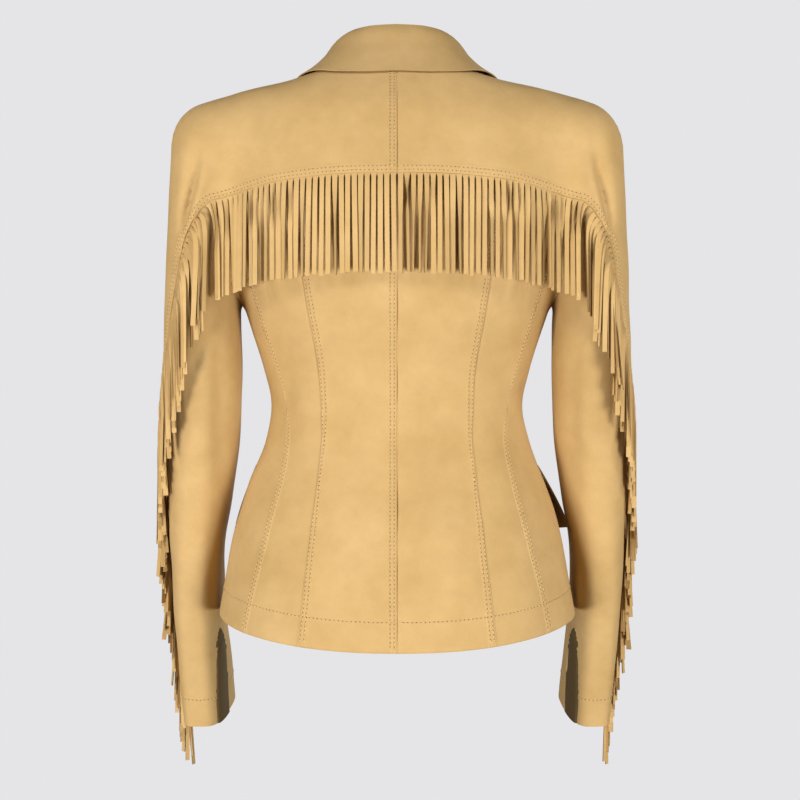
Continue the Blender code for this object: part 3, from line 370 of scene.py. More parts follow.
# Fringe: how each row of strands is cut and hangs. Twists are degrees, the rest are metres.
FRINGE_THICKNESS = 0.0009
FRINGE_LEVEL = 0.0006
FRINGE_SPARE = 0.0005
FRINGE_PARTING = 0.0003
CUT_START = 0.0036
STRAND_STEPS = 14
ROOT_STEPS = 3
BACK_FRINGE_START = 0.0004
BACK_FRINGE_END = 0.1830
FRINGE_CORNER = -0.150
SLEEVE_FRINGE_START = 0.1885
SLEEVE_FRINGE_END = -0.5940
BACK_LOOK = dict(count=32, width=0.0046, length=0.0935, turn_back=0.0, fan=0.0, sway=0.0017, twist=20.0,
                 wild_share=0.22, stagger=0.0010, stray=0.0014, stand=0.0034, reach=0.0110, hook=0.0020,
                 bend=0.0100, facing=0.0, clump=0.0, clump_lift=0.0, seed=40)
SLEEVE_LOOK = dict(count=96, width=0.0046, length=0.0960, turn_back=1.0, fan=0.015, sway=0.0036, twist=26.0,
                   wild_share=0.30, stagger=0.0012, stray=0.0045, stand=0.0010, reach=0.0100, hook=0.0035,
                   bend=0.0080, facing=0.80, clump=0.0042, clump_lift=0.0060, seed=70)
# Where strands of the back fringe turn edge-on near their top, by side: ranges of distance across
TURNED_EARLY = {1: ((0.000, 0.006), (0.088, 0.140), (0.145, 0.180)),
                -1: ((0.000, 0.010), (0.025, 0.036), (0.084, 0.118), (0.141, 0.185))}
EARLY_SHARE = 0.62
EARLY_TWISTS = (40, 70)
EARLY_ENDS = (0.4, 0.9)
WILD_TWISTS = (35, 75)
TWIST_SHARE = 0.45
SWAY_POWERS = (0.5, 1.7)
MOST_SWAY = 0.006
DRIFT_SPAN = 9
DRIFT_SHARE = 0.55
STAGGERS = (1.0, -0.2)
LENGTH_SPREAD = 0.008
WIDTH_SPREAD = 0.05
ROOT_OVERLAP = 1.02
STEP_POWER = 1.25
RUN_STEP = 0.0006
CLUMP_SIZES = (2, 6)
TURN_BACK_PARTS = (0.12, 0.35, 0.65, 1.0)
TURN_BACK = (0.0, 1.1, 0.5, 0.0)

# Folds: their places of distance across and height, cast backwards onto the form
ARMHOLE_CREASE = ((0.188, -0.050), (0.193, -0.082), (0.2000, -0.112), (0.2045, -0.145))
ARMHOLE_RIDGE = ((0.180, -0.060), (0.186, -0.090), (0.1930, -0.115), (0.1990, -0.145))
INNER_FOLD = ((0.176, -0.190), (0.171, -0.250), (0.170, -0.330), (0.178, -0.430))
ELBOW_FOLD = ((0.166, -0.345), (0.182, -0.362), (0.205, -0.372), (0.222, -0.370))
UNDERARM_FOLD = ((0.163, -0.215), (0.176, -0.232), (0.192, -0.262), (0.202, -0.300))
WAIST_FOLD = ((0.095, -0.285), (0.112, -0.292), (0.125, -0.288), (0.133, -0.280))
# Each fold with its height, its half width, and where along it the fold is deepest
LEFT_FOLDS = (
    (ARMHOLE_CREASE, -0.0066, 0.0050, 1.3),
    (ARMHOLE_CREASE, -0.0020, 0.0100, 1.2),
    (ARMHOLE_RIDGE, 0.0042, 0.0060, 1.2),
    (INNER_FOLD, -0.0050, 0.0120, 1.0),
    (ELBOW_FOLD, -0.0016, 0.0085, 1.0),
    (UNDERARM_FOLD, -0.0030, 0.0070, 1.0),
    (WAIST_FOLD, -0.0008, 0.0120, 1.0),
)
RIGHT_ELBOW_FOLD = ((0.164, -0.330), (0.180, -0.352), (0.202, -0.380), (0.220, -0.395))
RIGHT_UNDERARM_FOLD = ((0.162, -0.205), (0.178, -0.218), (0.196, -0.238), (0.208, -0.270))
RIGHT_FOLDS = (
    (ARMHOLE_CREASE, -0.0056, 0.0050, 1.1),
    (ARMHOLE_CREASE, -0.0022, 0.0110, 1.2),
    (ARMHOLE_RIDGE, 0.0038, 0.0064, 1.2),
    (INNER_FOLD, -0.0036, 0.0130, 1.0),
    (RIGHT_ELBOW_FOLD, -0.0018, 0.0090, 1.0),
    (RIGHT_UNDERARM_FOLD, -0.0026, 0.0080, 1.0),
    (WAIST_FOLD, -0.0010, 0.0110, 1.0),
)
# Filled at the start of main: the fold lines of each side
FOLD_LINES = {}
# Long low waves of the cloth: their run in the three directions and their start
WAVES = ((52.0, 18.0, 31.0, 0.4), (-23.0, 40.0, 74.0, 1.3), (88.0, -35.0, 22.0, 2.1),
         (14.0, 61.0, -95.0, 0.9))
WAVE_HEIGHT = 0.00022

# Finishes
SUEDE_TONES = ((0.30, (0.478, 0.306, 0.120)), (0.50, (0.515, 0.336, 0.139)),
               (0.72, (0.552, 0.366, 0.160)))
SUEDE_SHADER = {"Roughness": 0.92, "Specular IOR Level": 0.15, "Sheen Weight": 0.06,
                "Sheen Roughness": 0.45, "Sheen Tint": (1.0, 0.86, 0.62, 1.0)}
FRINGE_TONE = 1.07
COLLAR_TONE = 0.87
# Cut edges of the fringe strands: the suede darkened to a painted shade for the shadow between the strands
CUT_EDGE_SHADE_TONE = 0.40
# Inner faces of the panels: the suede darkened to a painted shade for the shadow inside the garment
INSIDE_SHADE_TONE = 0.20
# Plain finishes: colour, roughness, scale of the clouds and how far their colour goes up and down
THREAD = ((0.60, 0.42, 0.20), 0.8, 300.0, 0.10)
# Stitch holes: a dark colour that is a painted shade for the pits the needle leaves
HOLE_SHADE = ((0.13, 0.070, 0.022), 0.9, 300.0, 0.15)
HORN = ((0.10, 0.050, 0.022), 0.32, 120.0, 0.35)
PLAIN_STOPS = (0.35, 0.65)
PLAIN_DETAIL = 3.0
# Noise of the suede: scale, detail and roughness
CLOUDS = (16.0, 4.0, 0.55)
BRUSH = (75.0, 3.0, 0.6)
NAP = (1100.0, 2.0, 0.7)
BRUSH_SHADES = ((0.35, 0.94), (0.65, 1.04))
NAP_SHADES = ((0.25, 0.90), (0.75, 1.07))
BRUSH_SHARE = 0.55
NAP_SHARE = 0.50
NAP_BUMP = {"Strength": 0.35, "Distance": 0.00035}
BACKGROUND = (0.783, 0.783, 0.799)

# Stage
STAGE_SIZE = 30.0
FLOOR_GAP = 0.25
BACKDROP_CELLS = (48, 24)
SKY_STRENGTH = 0.50
# The sky from the garment's front to its back: places and how bright it is there
SKY_SHARES = ((0.30, 0.04), (0.62, 0.06), (1.0, 0.3))
LIGHT_COLOUR = (1.0, 0.985, 0.96)
LIGHT_AIM = (0.0, 0.0, -0.30)
LIGHTS = (
    ("high_left", (1.3, 1.1, 0.85), (0.6, 0.6), 16.0),
    ("high_right", (-1.3, 1.1, 0.85), (0.6, 0.6), 14.5),
    ("low_left", (1.35, 1.6, -0.90), (0.7, 0.7), 38.0),
    ("low_right", (-1.30, 1.6, -0.90), (0.7, 0.7), 34.0),
    ("front_fill", (-0.8, -3.2, 0.6), (2.6, 2.2), 90.0),
)
CAMERA_PLACE = (0.0, 1.35, -0.30)
CAMERA_LENS = 60.75
SENSOR_WIDTH = 36.0
CAMERA_SHIFT = 0.00375


def column(table, names, wanted, at):
    """A smooth value of one table column at the given places of its first column."""
    at = np.asarray(at, dtype=float)
    knots = table[:, 0]
    values = table[:, names.index(wanted)]
    slopes = np.gradient(values, knots)
    at = np.clip(at, knots[0], knots[-1])
    i = np.clip(np.searchsorted(knots, at) - 1, 0, len(knots) - 2)
    step = knots[i + 1] - knots[i]
    t = (at - knots[i]) / step
    return ((2 * t**3 - 3 * t**2 + 1) * values[i] + (t**3 - 2 * t**2 + t) * step * slopes[i]
            + (3 * t**2 - 2 * t**3) * values[i + 1] + (t**3 - t**2) * step * slopes[i + 1])


def unit(v):
    """Directions of length one."""
    return v / np.maximum(np.linalg.norm(v, axis=-1, keepdims=True), 1e-12)


def ring_distance(across, depth, half_width, half_depth, squareness):
    """How far a point lies outside a ring, measured along the ray from the ring's middle."""
    reach = (np.abs(across / half_width)**squareness
             + np.abs(depth / half_depth)**squareness)**(1 / squareness)
    reach = np.maximum(reach, 1e-6)
    return np.hypot(across, depth) * (1 - 1 / reach)


def torso_distance(p):
    """How far points lie outside the torso rings."""
    z = p[..., 2]
    middle = column(TORSO, TORSO_COLUMNS, "widest", z)
    depth = p[..., 1] - middle
    back = column(TORSO, TORSO_COLUMNS, "back", z) - middle
    front = middle - column(TORSO, TORSO_COLUMNS, "front", z)
    return ring_distance(p[..., 0], depth, column(TORSO, TORSO_COLUMNS, "half_width", z),
                         np.where(depth > 0, back, front),
                         column(TORSO, TORSO_COLUMNS, "squareness", z))


def sleeve_ring(z):
    """Middle, half sizes and squareness of the left sleeve's ring at each height."""
    inner, outer, back, front, squareness = (column(SLEEVE, SLEEVE_COLUMNS, name, z)
                                             for name in SLEEVE_COLUMNS[1:6])
    return (inner + outer) / 2, (back + front) / 2, (outer - inner) / 2, (back - front) / 2, squareness


def sleeve_slant(z):
    """How far the left sleeve's ring is drawn outwards for each metre backwards, at each height."""
    return column(SLEEVE, SLEEVE_COLUMNS, "slant", z)


def sleeve_distance(p):
    """How far points lie outside the left sleeve's rings."""
    x, y, half_x, half_y, squareness = sleeve_ring(p[..., 2])
    depth = p[..., 1] - y
    across = p[..., 0] - x - sleeve_slant(p[..., 2]) * depth
    return ring_distance(across, depth, half_x, half_y, squareness)


def soft_least(a, b, melt):
    """The smaller of two distances, with the corner between them rounded."""
    share = np.clip(0.5 + 0.5 * (b - a) / melt, 0, 1)
    return b * (1 - share) + a * share - melt * share * (1 - share)


def outside(p):
    """How far points lie outside the whole form. It is zero on the outer side of the cloth."""
    p = np.array(p, dtype=float)
    p[..., 0] = np.abs(p[..., 0])
    melt = column(MELT, MELT_COLUMNS, "melt", p[..., 2])
    rings = soft_least(torso_distance(p), sleeve_distance(p), melt)
    top = column(SHOULDER, SHOULDER_COLUMNS, "height", p[..., 0])
    arch = (p[..., 1] - SHOULDER_RIDGE_DEPTH)**2 / (2 * SHOULDER_ARCH_RADIUS)
    above = p[..., 2] - top + arch
    return -soft_least(-rings, -above, SHOULDER_ROUNDING)


def slope(p):
    """Gradient of the distance at each point."""
    parts = []
    for axis in range(3):
        shift = np.zeros(3)
        shift[axis] = SLOPE_STEP
        parts.append((outside(p + shift) - outside(p - shift)) / (2 * SLOPE_STEP))
    return np.stack(parts, axis=-1)


def normal(p):
    """Outward direction at each point."""
    return unit(slope(p))


def settle(p, level=0.0, rounds=SETTLE_ROUNDS):
    """Moves points along the slope until they lie at a level above the form."""
    p = np.array(p, dtype=float)
    for _ in range(rounds):
        g = slope(p)
        size = np.maximum((g**2).sum(axis=-1), LEAST_SLOPE)
        p = p - np.clip((outside(p) - level) / size, -LONGEST_MOVE, LONGEST_MOVE)[..., None] * g
    return p


def lifted_clear(grid, level):
    """A grid moved outwards wherever a point or the middle of a cell is below a level."""
    grid = np.where((outside(grid) < level)[..., None], settle(grid, level), grid)
    low = slice(None, -1)
    high = slice(1, None)
    for _ in range(CLEAR_ROUNDS):
        centre = (grid[low, low] + grid[high, low] + grid[low, high] + grid[high, high]) / 4
        short = np.maximum(level - outside(centre), 0)
        push = np.zeros(grid.shape[:2])
        for corner in ((low, low), (high, low), (low, high), (high, high)):
            push[corner] = np.maximum(push[corner], short)
        grid = grid + normal(grid) * push[..., None]
    return grid


def cast(start, direction):
    """Where rays that start inside the form leave it."""
    near = np.zeros(start.shape[:-1])
    far = np.full(start.shape[:-1], CAST_REACH)
    found = np.zeros(start.shape[:-1], dtype=bool)
    for step in np.linspace(CAST_START, CAST_REACH, CAST_STEPS):
        out = outside(start + direction * step) > 0
        far = np.where(out & ~found, step, far)
        near = np.where(~out & ~found, step, near)
        found |= out
    for _ in range(CAST_HALVINGS):
        half = (near + far) / 2
        out = outside(start + direction * half[..., None]) > 0
        far = np.where(out, half, far)
        near = np.where(out, near, half)
    return start + direction * far[..., None]


def on_side(across_height, side):
    """Points on the back (side +1) or front (side -1) at given distances across and heights."""
    rows = np.asarray(across_height, dtype=float)
    middle = column(TORSO, TORSO_COLUMNS, "widest", rows[:, 1])
    start = np.stack([rows[:, 0], middle, rows[:, 1]], axis=-1)
    return cast(start, np.array([0.0, side, 0.0]))


def on_ring(height, turn):
    """Points near the left sleeve at given heights and ring angles in radians."""
    x, y, half_x, half_y, squareness = sleeve_ring(height)
    cosine = np.cos(turn)
    sine = np.sin(turn)
    depth = half_y * np.sign(sine) * np.abs(sine)**(2 / squareness)
    across = half_x * np.sign(cosine) * np.abs(cosine)**(2 / squareness)
    px = x + across + sleeve_slant(height) * depth
    return settle(np.stack([px, y + depth, height], axis=-1))


def on_sleeve(height, degrees):
    """Points on the left sleeve at given heights and ring angles in degrees."""
    return on_ring(np.asarray(height, dtype=float), np.radians(degrees))


def ring_turn(p):
    """Ring angle of points on the left sleeve, in radians, counted up from the fringed seam."""
    x, y, half_x, half_y, squareness = sleeve_ring(p[:, 2])
    depth = (p[:, 1] - y) / half_y
    across = (p[:, 0] - x - sleeve_slant(p[:, 2]) * half_y * depth) / half_x
    turn = np.arctan2(np.sign(depth) * np.abs(depth)**(squareness / 2),
                      np.sign(across) * np.abs(across)**(squareness / 2))
    return np.where(turn < math.radians(RING_TURN_START), turn + 2 * math.pi, turn)


def smooth_line(points, count=120):
    """A smooth curve through a few points."""
    points = np.asarray(points, dtype=float)
    steps = np.r_[0, np.cumsum(np.linalg.norm(np.diff(points, axis=0), axis=1))]
    table = np.column_stack([steps, points])
    names = ("along",) + tuple(str(i) for i in range(points.shape[1]))
    at = np.linspace(0, steps[-1], count)
    return np.stack([column(table, names, name, at) for name in names[1:]], axis=-1)


def lengths(line):
    """Distance of each point along its line."""
    return np.r_[0, np.cumsum(np.linalg.norm(np.diff(line, axis=0), axis=1))]


def even(line, cells):
    """The same line with evenly spaced points."""
    steps = lengths(line)
    at = np.linspace(0, steps[-1], cells + 1)
    return along(line, at)


def along(line, at, values=None):
    """Points at given distances along a line, or there the values given for its points."""
    steps = lengths(line)
    values = line if values is None else values
    return np.stack([np.interp(at, steps, values[:, i]) for i in range(values.shape[1])], axis=-1)


def join(*lines):
    """Lines joined end to end, without the repeated points."""
    return np.vstack([lines[0]] + [line[1:] for line in lines[1:]])


def hem_height(p):
    """Height of the hem at each point's depth."""
    depth = p[..., 1] / HEM_DEPTH
    dip = np.where(depth > 0, HEM_BACK_DIP, HEM_FRONT_DIP)
    return HEM_SIDE_HEIGHT - dip * depth**2


def to_hem(p):
    """Moves points near the hem onto it, keeping their distance across."""
    p = np.array(p, dtype=float)
    across = p[..., 0].copy()
    for _ in range(HEM_ROUNDS):
        p[..., 2] = hem_height(p)
        p = settle(p, rounds=SHORT_SETTLE)
        p[..., 0] = across
    p[..., 2] = hem_height(p)
    return p


def hem_line(start, end, cells):
    """The hem between two points on it, going round the torso."""
    turns = np.linspace(math.atan2(start[1], start[0]), math.atan2(end[1], end[0]), HEM_STEPS)
    p = np.stack([np.cos(turns) * HEM_START_HALF_WIDTH, np.sin(turns) * HEM_START_HALF_DEPTH,
                  np.full(HEM_STEPS, HEM_SIDE_HEIGHT)], axis=-1)
    for _ in range(HEM_ROUNDS):
        p = settle(p, rounds=LONGER_SETTLE)
        p[:, 2] = hem_height(p)
    p = even(p, cells)
    p[0] = start
    p[-1] = end
    return p


def sampled(line, shares):
    """Points at shares of a line's whole length."""
    return along(line, np.asarray(shares) * lengths(line)[-1])


def close_shares(length, start=PLAIN_EDGE, end=PLAIN_EDGE, cell=CELL):
    """Places from 0 to 1 along a length, closer together beside its two ends."""
    low = np.array((0.0, *start))
    high = length - np.array((0.0, *end))[::-1]
    count = max(2, int(round((high[0] - low[-1]) / cell)))
    between = np.linspace(low[-1], high[0], count + 1)[1:-1]
    return np.r_[low, between, high] / length


def blended(bottom, top, left, right, u, v):
    """A grid whose inside follows its four edges."""
    u = u[None, :, None]
    v = v[:, None, None]
    return ((1 - v) * bottom[None] + v * top[None] + (1 - u) * left[:, None] + u * right[:, None]
            - (1 - u) * (1 - v) * bottom[0] - u * (1 - v) * bottom[-1]
            - (1 - u) * v * top[0] - u * v * top[-1])


def patch(bottom, top, left, right, u, v):
    """A grid between four seam lines, laid on the form."""
    grid = blended(sampled(bottom, u), sampled(top, u), sampled(left, v), sampled(right, v), u, v)
    grid[1:-1, 1:-1] = settle(grid[1:-1, 1:-1])
    return grid


def turned(grid, letter):
    """A grid turned so that the edge with this letter is its first column."""
    if letter == "l":
        return grid
    if letter == "r":
        return grid[:, ::-1]
    if letter == "b":
        return grid.swapaxes(0, 1)
    return grid[::-1].swapaxes(0, 1)


def turned_back(values, letter):
    """Undoes turned for a table of values."""
    if letter == "l":
        return values
    if letter == "r":
        return values[:, ::-1]
    if letter == "b":
        return values.T
    return values.T[::-1]


def edge_distances(grid):
    """Distance of each point from the first column, along its row."""
    steps = np.linalg.norm(np.diff(grid, axis=1), axis=-1)
    return np.concatenate([np.zeros((len(grid), 1)), np.cumsum(steps, axis=1)], axis=1)


def row_at(outer, letter, distance):
    """The line on a panel at a distance from one of its edges."""
    grid = turned(outer, letter)
    away = edge_distances(grid)
    return np.array([[np.interp(distance, d, row[:, axis]) for axis in range(3)]
                     for d, row in zip(away, grid)])


def parted(grid, edges, inset=SEAM_INSET):
    """Draws a grid's edges in from its seams. The letters name the edges that are seams."""
    source = grid.copy()
    grid = grid.copy()
    whole = slice(None)
    places = {"b": ((0, whole), (1, whole)), "t": ((-1, whole), (-2, whole)),
              "l": ((whole, 0), (whole, 1)), "r": ((whole, -1), (whole, -2))}
    for letter in edges:
        edge, inner = places[letter]
        run = unit(np.gradient(source[edge], axis=0))
        run[[0, -1]] = 0.0
        inward = source[inner] - source[edge]
        inward = unit(inward - (inward * run).sum(axis=-1, keepdims=True) * run)
        grid[edge] += inward * inset
    return grid


def seam_relief(distance, stitched):
    """Height of the cloth at distances from a seam."""
    height = -ROLL_DEPTH * np.exp(-(distance / ROLL_WIDTH)**2)
    if stitched:
        height = height + ALLOWANCE_HEIGHT / (1 + np.exp((distance - ALLOWANCE_WIDTH) / ALLOWANCE_FADE * 4))
        for row in STITCH_ROWS:
            height = height - STITCH_SINK * np.exp(-((distance - row) / STITCH_TROUGH)**2)
    return height


def line_distance(p, line):
    """Distance of points from a line, and the share of the line's length where it is nearest."""
    best = np.full(p.shape[:-1], FAR_AWAY)
    share = np.zeros(p.shape[:-1])
    steps = lengths(line)
    for i in range(len(line) - 1):
        run = line[i + 1] - line[i]
        t = np.clip(((p - line[i]) @ run) / (run @ run), 0, 1)
        gap = np.linalg.norm(p - line[i] - t[..., None] * run, axis=-1)
        nearer = gap < best
        best = np.where(nearer, gap, best)
        share = np.where(nearer, (steps[i] + t * (steps[i + 1] - steps[i])) / steps[-1], share)
    return best, share


def folds(p, side):
    """Soft folds and unevenness of the cloth on one side of the garment, as heights."""
    height = np.zeros(p.shape[:-1])
    for line, depth, width, peak in FOLD_LINES[side]:
        gap, share = line_distance(p, line)
        fade = np.sin(math.pi * np.clip(share, 0.0, 1.0)**peak)
        height = height + depth * fade * np.exp(-(gap / width)**2)
    for wave in WAVES:
        along_wave = p @ np.array(wave[:3]) + wave[3] * side
        height = height + WAVE_HEIGHT * np.sin(along_wave)
    return height


def fold_line(rows):
    """A fold's line on the form, from rows of distance across and height."""
    start = np.array([(x, 0.0, z) for x, z in rows])
    return smooth_line(cast(start, BACKWARDS), FOLD_STEPS)


def closed_sheet(outer, inner):
    """Vertices and faces of a wall between two grids."""
    rows, cols = outer.shape[:2]
    count = rows * cols
    index = np.arange(count).reshape(rows, cols)
    quads = np.stack([index[:-1, :-1], index[:-1, 1:], index[1:, 1:], index[1:, :-1]], axis=-1)
    quads = quads.reshape(-1, 4)
    rim = np.r_[index[0], index[1:, -1], index[-1, -2::-1], index[-2:0:-1, 0]]
    following = np.roll(rim, -1)
    sides = np.stack([following, rim, rim + count, following + count], axis=-1)
    vertices = np.vstack([outer.reshape(-1, 3), inner.reshape(-1, 3)])
    return vertices, np.vstack([quads, quads[:, ::-1] + count, sides])


def mirrored(points):
    """The same points on the wearer's right."""
    return points * np.array([-1.0, 1.0, 1.0])


def sided(points, side):
    """Points on the wearer's left for side 1, or mirrored to the right for side -1."""
    return points if side > 0 else mirrored(points)


def add_mesh(name, vertices, faces, material, sharp=CLOTH_SHARP):
    """One piece that rides on the body."""
    mesh = bpy.data.meshes.new(name)
    mesh.from_pydata(np.asarray(vertices).tolist(), [], [tuple(face) for face in faces])
    work = bmesh.new()
    work.from_mesh(mesh)
    bmesh.ops.recalc_face_normals(work, faces=work.faces)
    work.to_mesh(mesh)
    work.free()
    mesh.materials.append(material)
    mesh.shade_smooth()
    mesh.set_sharp_from_angle(angle=math.radians(sharp))
    piece = bpy.data.objects.new(name, mesh)
    bpy.context.scene.collection.objects.link(piece)
    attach(piece, "root")
    return piece


def stand_for(piece, node):
    """The piece takes a solid's place: the solid is hidden."""
    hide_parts(node)


def paint(piece, material, spans):
    """Gives runs of a piece's faces a second material."""
    piece.data.materials.append(material)
    slots = np.zeros(len(piece.data.polygons), dtype=np.int32)
    for start, end in spans:
        slots[start:end] = 1
    piece.data.polygons.foreach_set("material_index", slots)


def add_sheet(node, outer, inner, side, material):
    """One panel of cloth that replaces its solid."""
    name = "cloth_" + node
    outer = sided(outer, side)
    inner = sided(inner, side)
    piece = add_mesh(name, *closed_sheet(outer, inner), material)
    stand_for(piece, node)
    return piece


def seam_distances(grid, letter):
    """Distance of each point from the edge with this letter."""
    return turned_back(edge_distances(turned(grid, letter)), letter)


def edge_relief(grid, letters):
    """Height of the cloth beside free edges: they roll in a little and have one row of stitches."""
    relief = np.zeros(grid.shape[:2])
    for letter in letters:
        away = seam_distances(grid, letter)
        relief = relief - ROLL_DEPTH * FREE_ROLL * np.exp(-(away / ROLL_WIDTH)**2)
        relief = relief - STITCH_SINK * np.exp(-((away - EDGE_STITCH_ROW[0]) / STITCH_TROUGH)**2)
    return relief


def add_panel(node, side, grid, materials, lift=0.0, seams="", stitched=""):
    """One panel with its seam relief and folds. Gives its outer side on the wearer's left."""
    out = normal(grid)
    height = lift + folds(grid, side)
    for letter in seams:
        height = height + seam_relief(seam_distances(grid, letter), letter in stitched)
    outer = parted(grid, seams) + out * height[..., None]
    piece = add_sheet(f"{node}_{SIDES[side]}", outer, outer - out * WALL, side, materials[0])
    cells = (outer.shape[0] - 1) * (outer.shape[1] - 1)
    # The inner faces get the darker inside suede, a painted shade for the shadow inside the garment
    paint(piece, materials[1], ((cells, 2 * cells),))
    return outer


def ring_faces(rings, sides):
    """Faces of a turned shape with shut ends, from its first ring of points to its last."""
    faces = []
    for low in range(0, (rings - 1) * sides, sides):
        for i in range(sides):
            j = (i + 1) % sides
            faces.append((low + i, low + j, low + sides + j, low + sides + i))
    return faces + [tuple(range(sides)), tuple(range((rings - 1) * sides, rings * sides))]


def stitch_template():
    """Points of one stitch, a stretched bead that lies along X."""
    turns = np.linspace(0, 2 * math.pi, STITCH_SIDES, endpoint=False)
    return np.vstack([np.column_stack([np.full(STITCH_SIDES, at * STITCH_LENGTH),
                                       np.cos(turns) * size * STITCH_RADIUS,
                                       np.sin(turns) * size * STITCH_RADIUS])
                      for at, size in STITCH_PROFILE])


def add_stitches(name, lines, material, size, shift, rise):
    """Rows of stitches along lines on the wearer's left, each with the side it is for."""
    template = stitch_template() * np.array(size)
    faces = ring_faces(len(STITCH_PROFILE), STITCH_SIDES)
    vertices = []
    all_faces = []
    for line, side in lines:
        total = lengths(line)[-1]
        count = int((total - STITCH_PITCH) / STITCH_PITCH)
        at = (np.arange(count) + 0.5 + shift) * STITCH_PITCH + (total - count * STITCH_PITCH) / 2
        centre = along(line, at)
        run = unit(along(line, at + STITCH_RUN_STEP) - along(line, at - STITCH_RUN_STEP))
        out = normal(centre)
        across = unit(np.cross(out, run))
        out = np.cross(run, across)
        for c, r, a, o in zip(centre + out * STITCH_RADIUS * rise, run, across, out):
            base = len(vertices) * len(template)
            points = c + template[:, :1] * r + template[:, 1:2] * a + template[:, 2:3] * o
            vertices.append(sided(points, side))
            all_faces.extend(tuple(base + k for k in face) for face in faces)
    return add_mesh(name, np.vstack(vertices), all_faces, material, STITCH_SHARP)


def seam_lines():
    """All shared seam lines of the wearer's left half, dense."""
    lip = on_side(smooth_line(YOKE_LIP, DENSE), 1)
    split = int(np.argmin(np.abs(lip[:, 0] - PRINCESS[-1, 0])))
    lip_centre = even(lip[:split + 1], DENSE)
    lip_side = even(lip[split:], DENSE)
    princess = on_side(smooth_line(PRINCESS, DENSE), 1)
    princess[-1] = lip_side[0]
    princess[0] = to_hem(princess[0])
    centre_rows = np.column_stack([np.zeros(DENSE), np.linspace(CENTRE_BACK_LOW, lip_centre[0, 2], DENSE)])
    centre_back = on_side(centre_rows, 1)
    centre_back[0] = to_hem(centre_back[0])
    arm_back = even(settle(smooth_line(ARMHOLE_BACK)), DENSE)[::-1]
    arm_under = even(settle(smooth_line(ARMHOLE_UNDER)), DENSE)
    arm_front = even(settle(smooth_line(ARMHOLE_FRONT)), DENSE)
    arm_back[-1] = lip_side[-1]
    arm_under[0] = arm_back[0]
    arm_front[0] = arm_under[-1]
    long_seams = []
    for table, way, end in ((SIDE_BACK, 1, arm_under[0]), (SIDE_FRONT, -1, arm_under[-1])):
        seam = settle(smooth_line(np.vstack([on_side(table, way), end])))
        seam[0] = to_hem(seam[0])
        seam[-1] = end
        long_seams.append(even(seam, DENSE))
    shoulder = even(settle(smooth_line(SHOULDER_FRONT)), DENSE)
    shoulder[-1] = arm_front[-1]
    neck = even(settle(smooth_line(NECK_BACK)), DENSE)
    neck[0, 0] = 0.0
    shoulder[0] = neck[-1]
    return dict(lip_centre=lip_centre, lip_side=lip_side, princess=even(princess, DENSE),
                centre_back=even(centre_back, DENSE), arm_back=arm_back, arm_under=arm_under,
                arm_front=arm_front, side_back=long_seams[0], side_front=long_seams[1],
                shoulder=shoulder, neck=neck)


def add_backs(line, material, rows):
    """Back centre, back side and side panels, with the rows of stitches on them."""
    hem_centre = hem_line(line["centre_back"][0], line["princess"][0], DENSE)
    hem_side_back = hem_line(line["princess"][0], line["side_back"][0], DENSE)
    hem_side = hem_line(line["side_back"][0], line["side_front"][0], DENSE)
    outer_edge = join(line["side_back"], line["arm_back"])
    tall = close_shares(BACK_CENTRE_SIZE[1])
    centre = patch(hem_centre, line["lip_centre"], line["centre_back"], line["princess"],
                   close_shares(BACK_CENTRE_SIZE[0], STITCHED_EDGE, STITCHED_EDGE), tall)
    side_back = patch(hem_side_back, line["lip_side"], line["princess"], outer_edge,
                      close_shares(BACK_SIDE_WIDTH, PLAIN_EDGE, STITCHED_EDGE), tall)
    flank = patch(hem_side, line["arm_under"], line["side_back"], line["side_front"],
                  close_shares(SIDE_SIZE[0]), close_shares(SIDE_SIZE[1]))
    for side in SIDES:
        stitched = "lr" if side > 0 else "r"
        outer = add_panel("back_centre", side, centre, material, seams="bltr", stitched=stitched)
        keep_rows(rows, outer, side, stitched)
        keep_rows(rows, outer, side, "b", HEM_STITCH_ROW)
        outer = add_panel("back_side", side, side_back, material, seams="bltr", stitched="r")
        keep_rows(rows, outer[:BACK_SIDE_ROWS], side, "r")
        keep_rows(rows, outer, side, "b", HEM_STITCH_ROW)
        outer = add_panel("side", side, flank, material, seams="bltr")
        keep_rows(rows, outer, side, "b", HEM_STITCH_ROW)


def keep_rows(rows, outer, side, letters, distances=STITCH_ROWS):
    """Adds stitch rows beside each named edge of a panel."""
    for letter in letters:
        for distance in distances:
            rows.append((row_at(outer, letter, distance), side))


def front_edge(line):
    """The front edge from the hem past the break of the lapel to the shoulder."""
    low = to_hem(on_side([(-FRONT_OVERLAP, FRONT_LOW)], -1)[0])
    heights = np.linspace(low[2], BREAK_HEIGHT, DENSE)
    straight = on_side(np.column_stack([np.full(DENSE, -FRONT_OVERLAP), heights]), -1)
    straight[0] = low
    bend = settle(smooth_line(np.vstack([straight[-1], NECK_FRONT])))
    bend[-1] = line["shoulder"][0]
    return even(straight, DENSE), even(bend, DENSE)


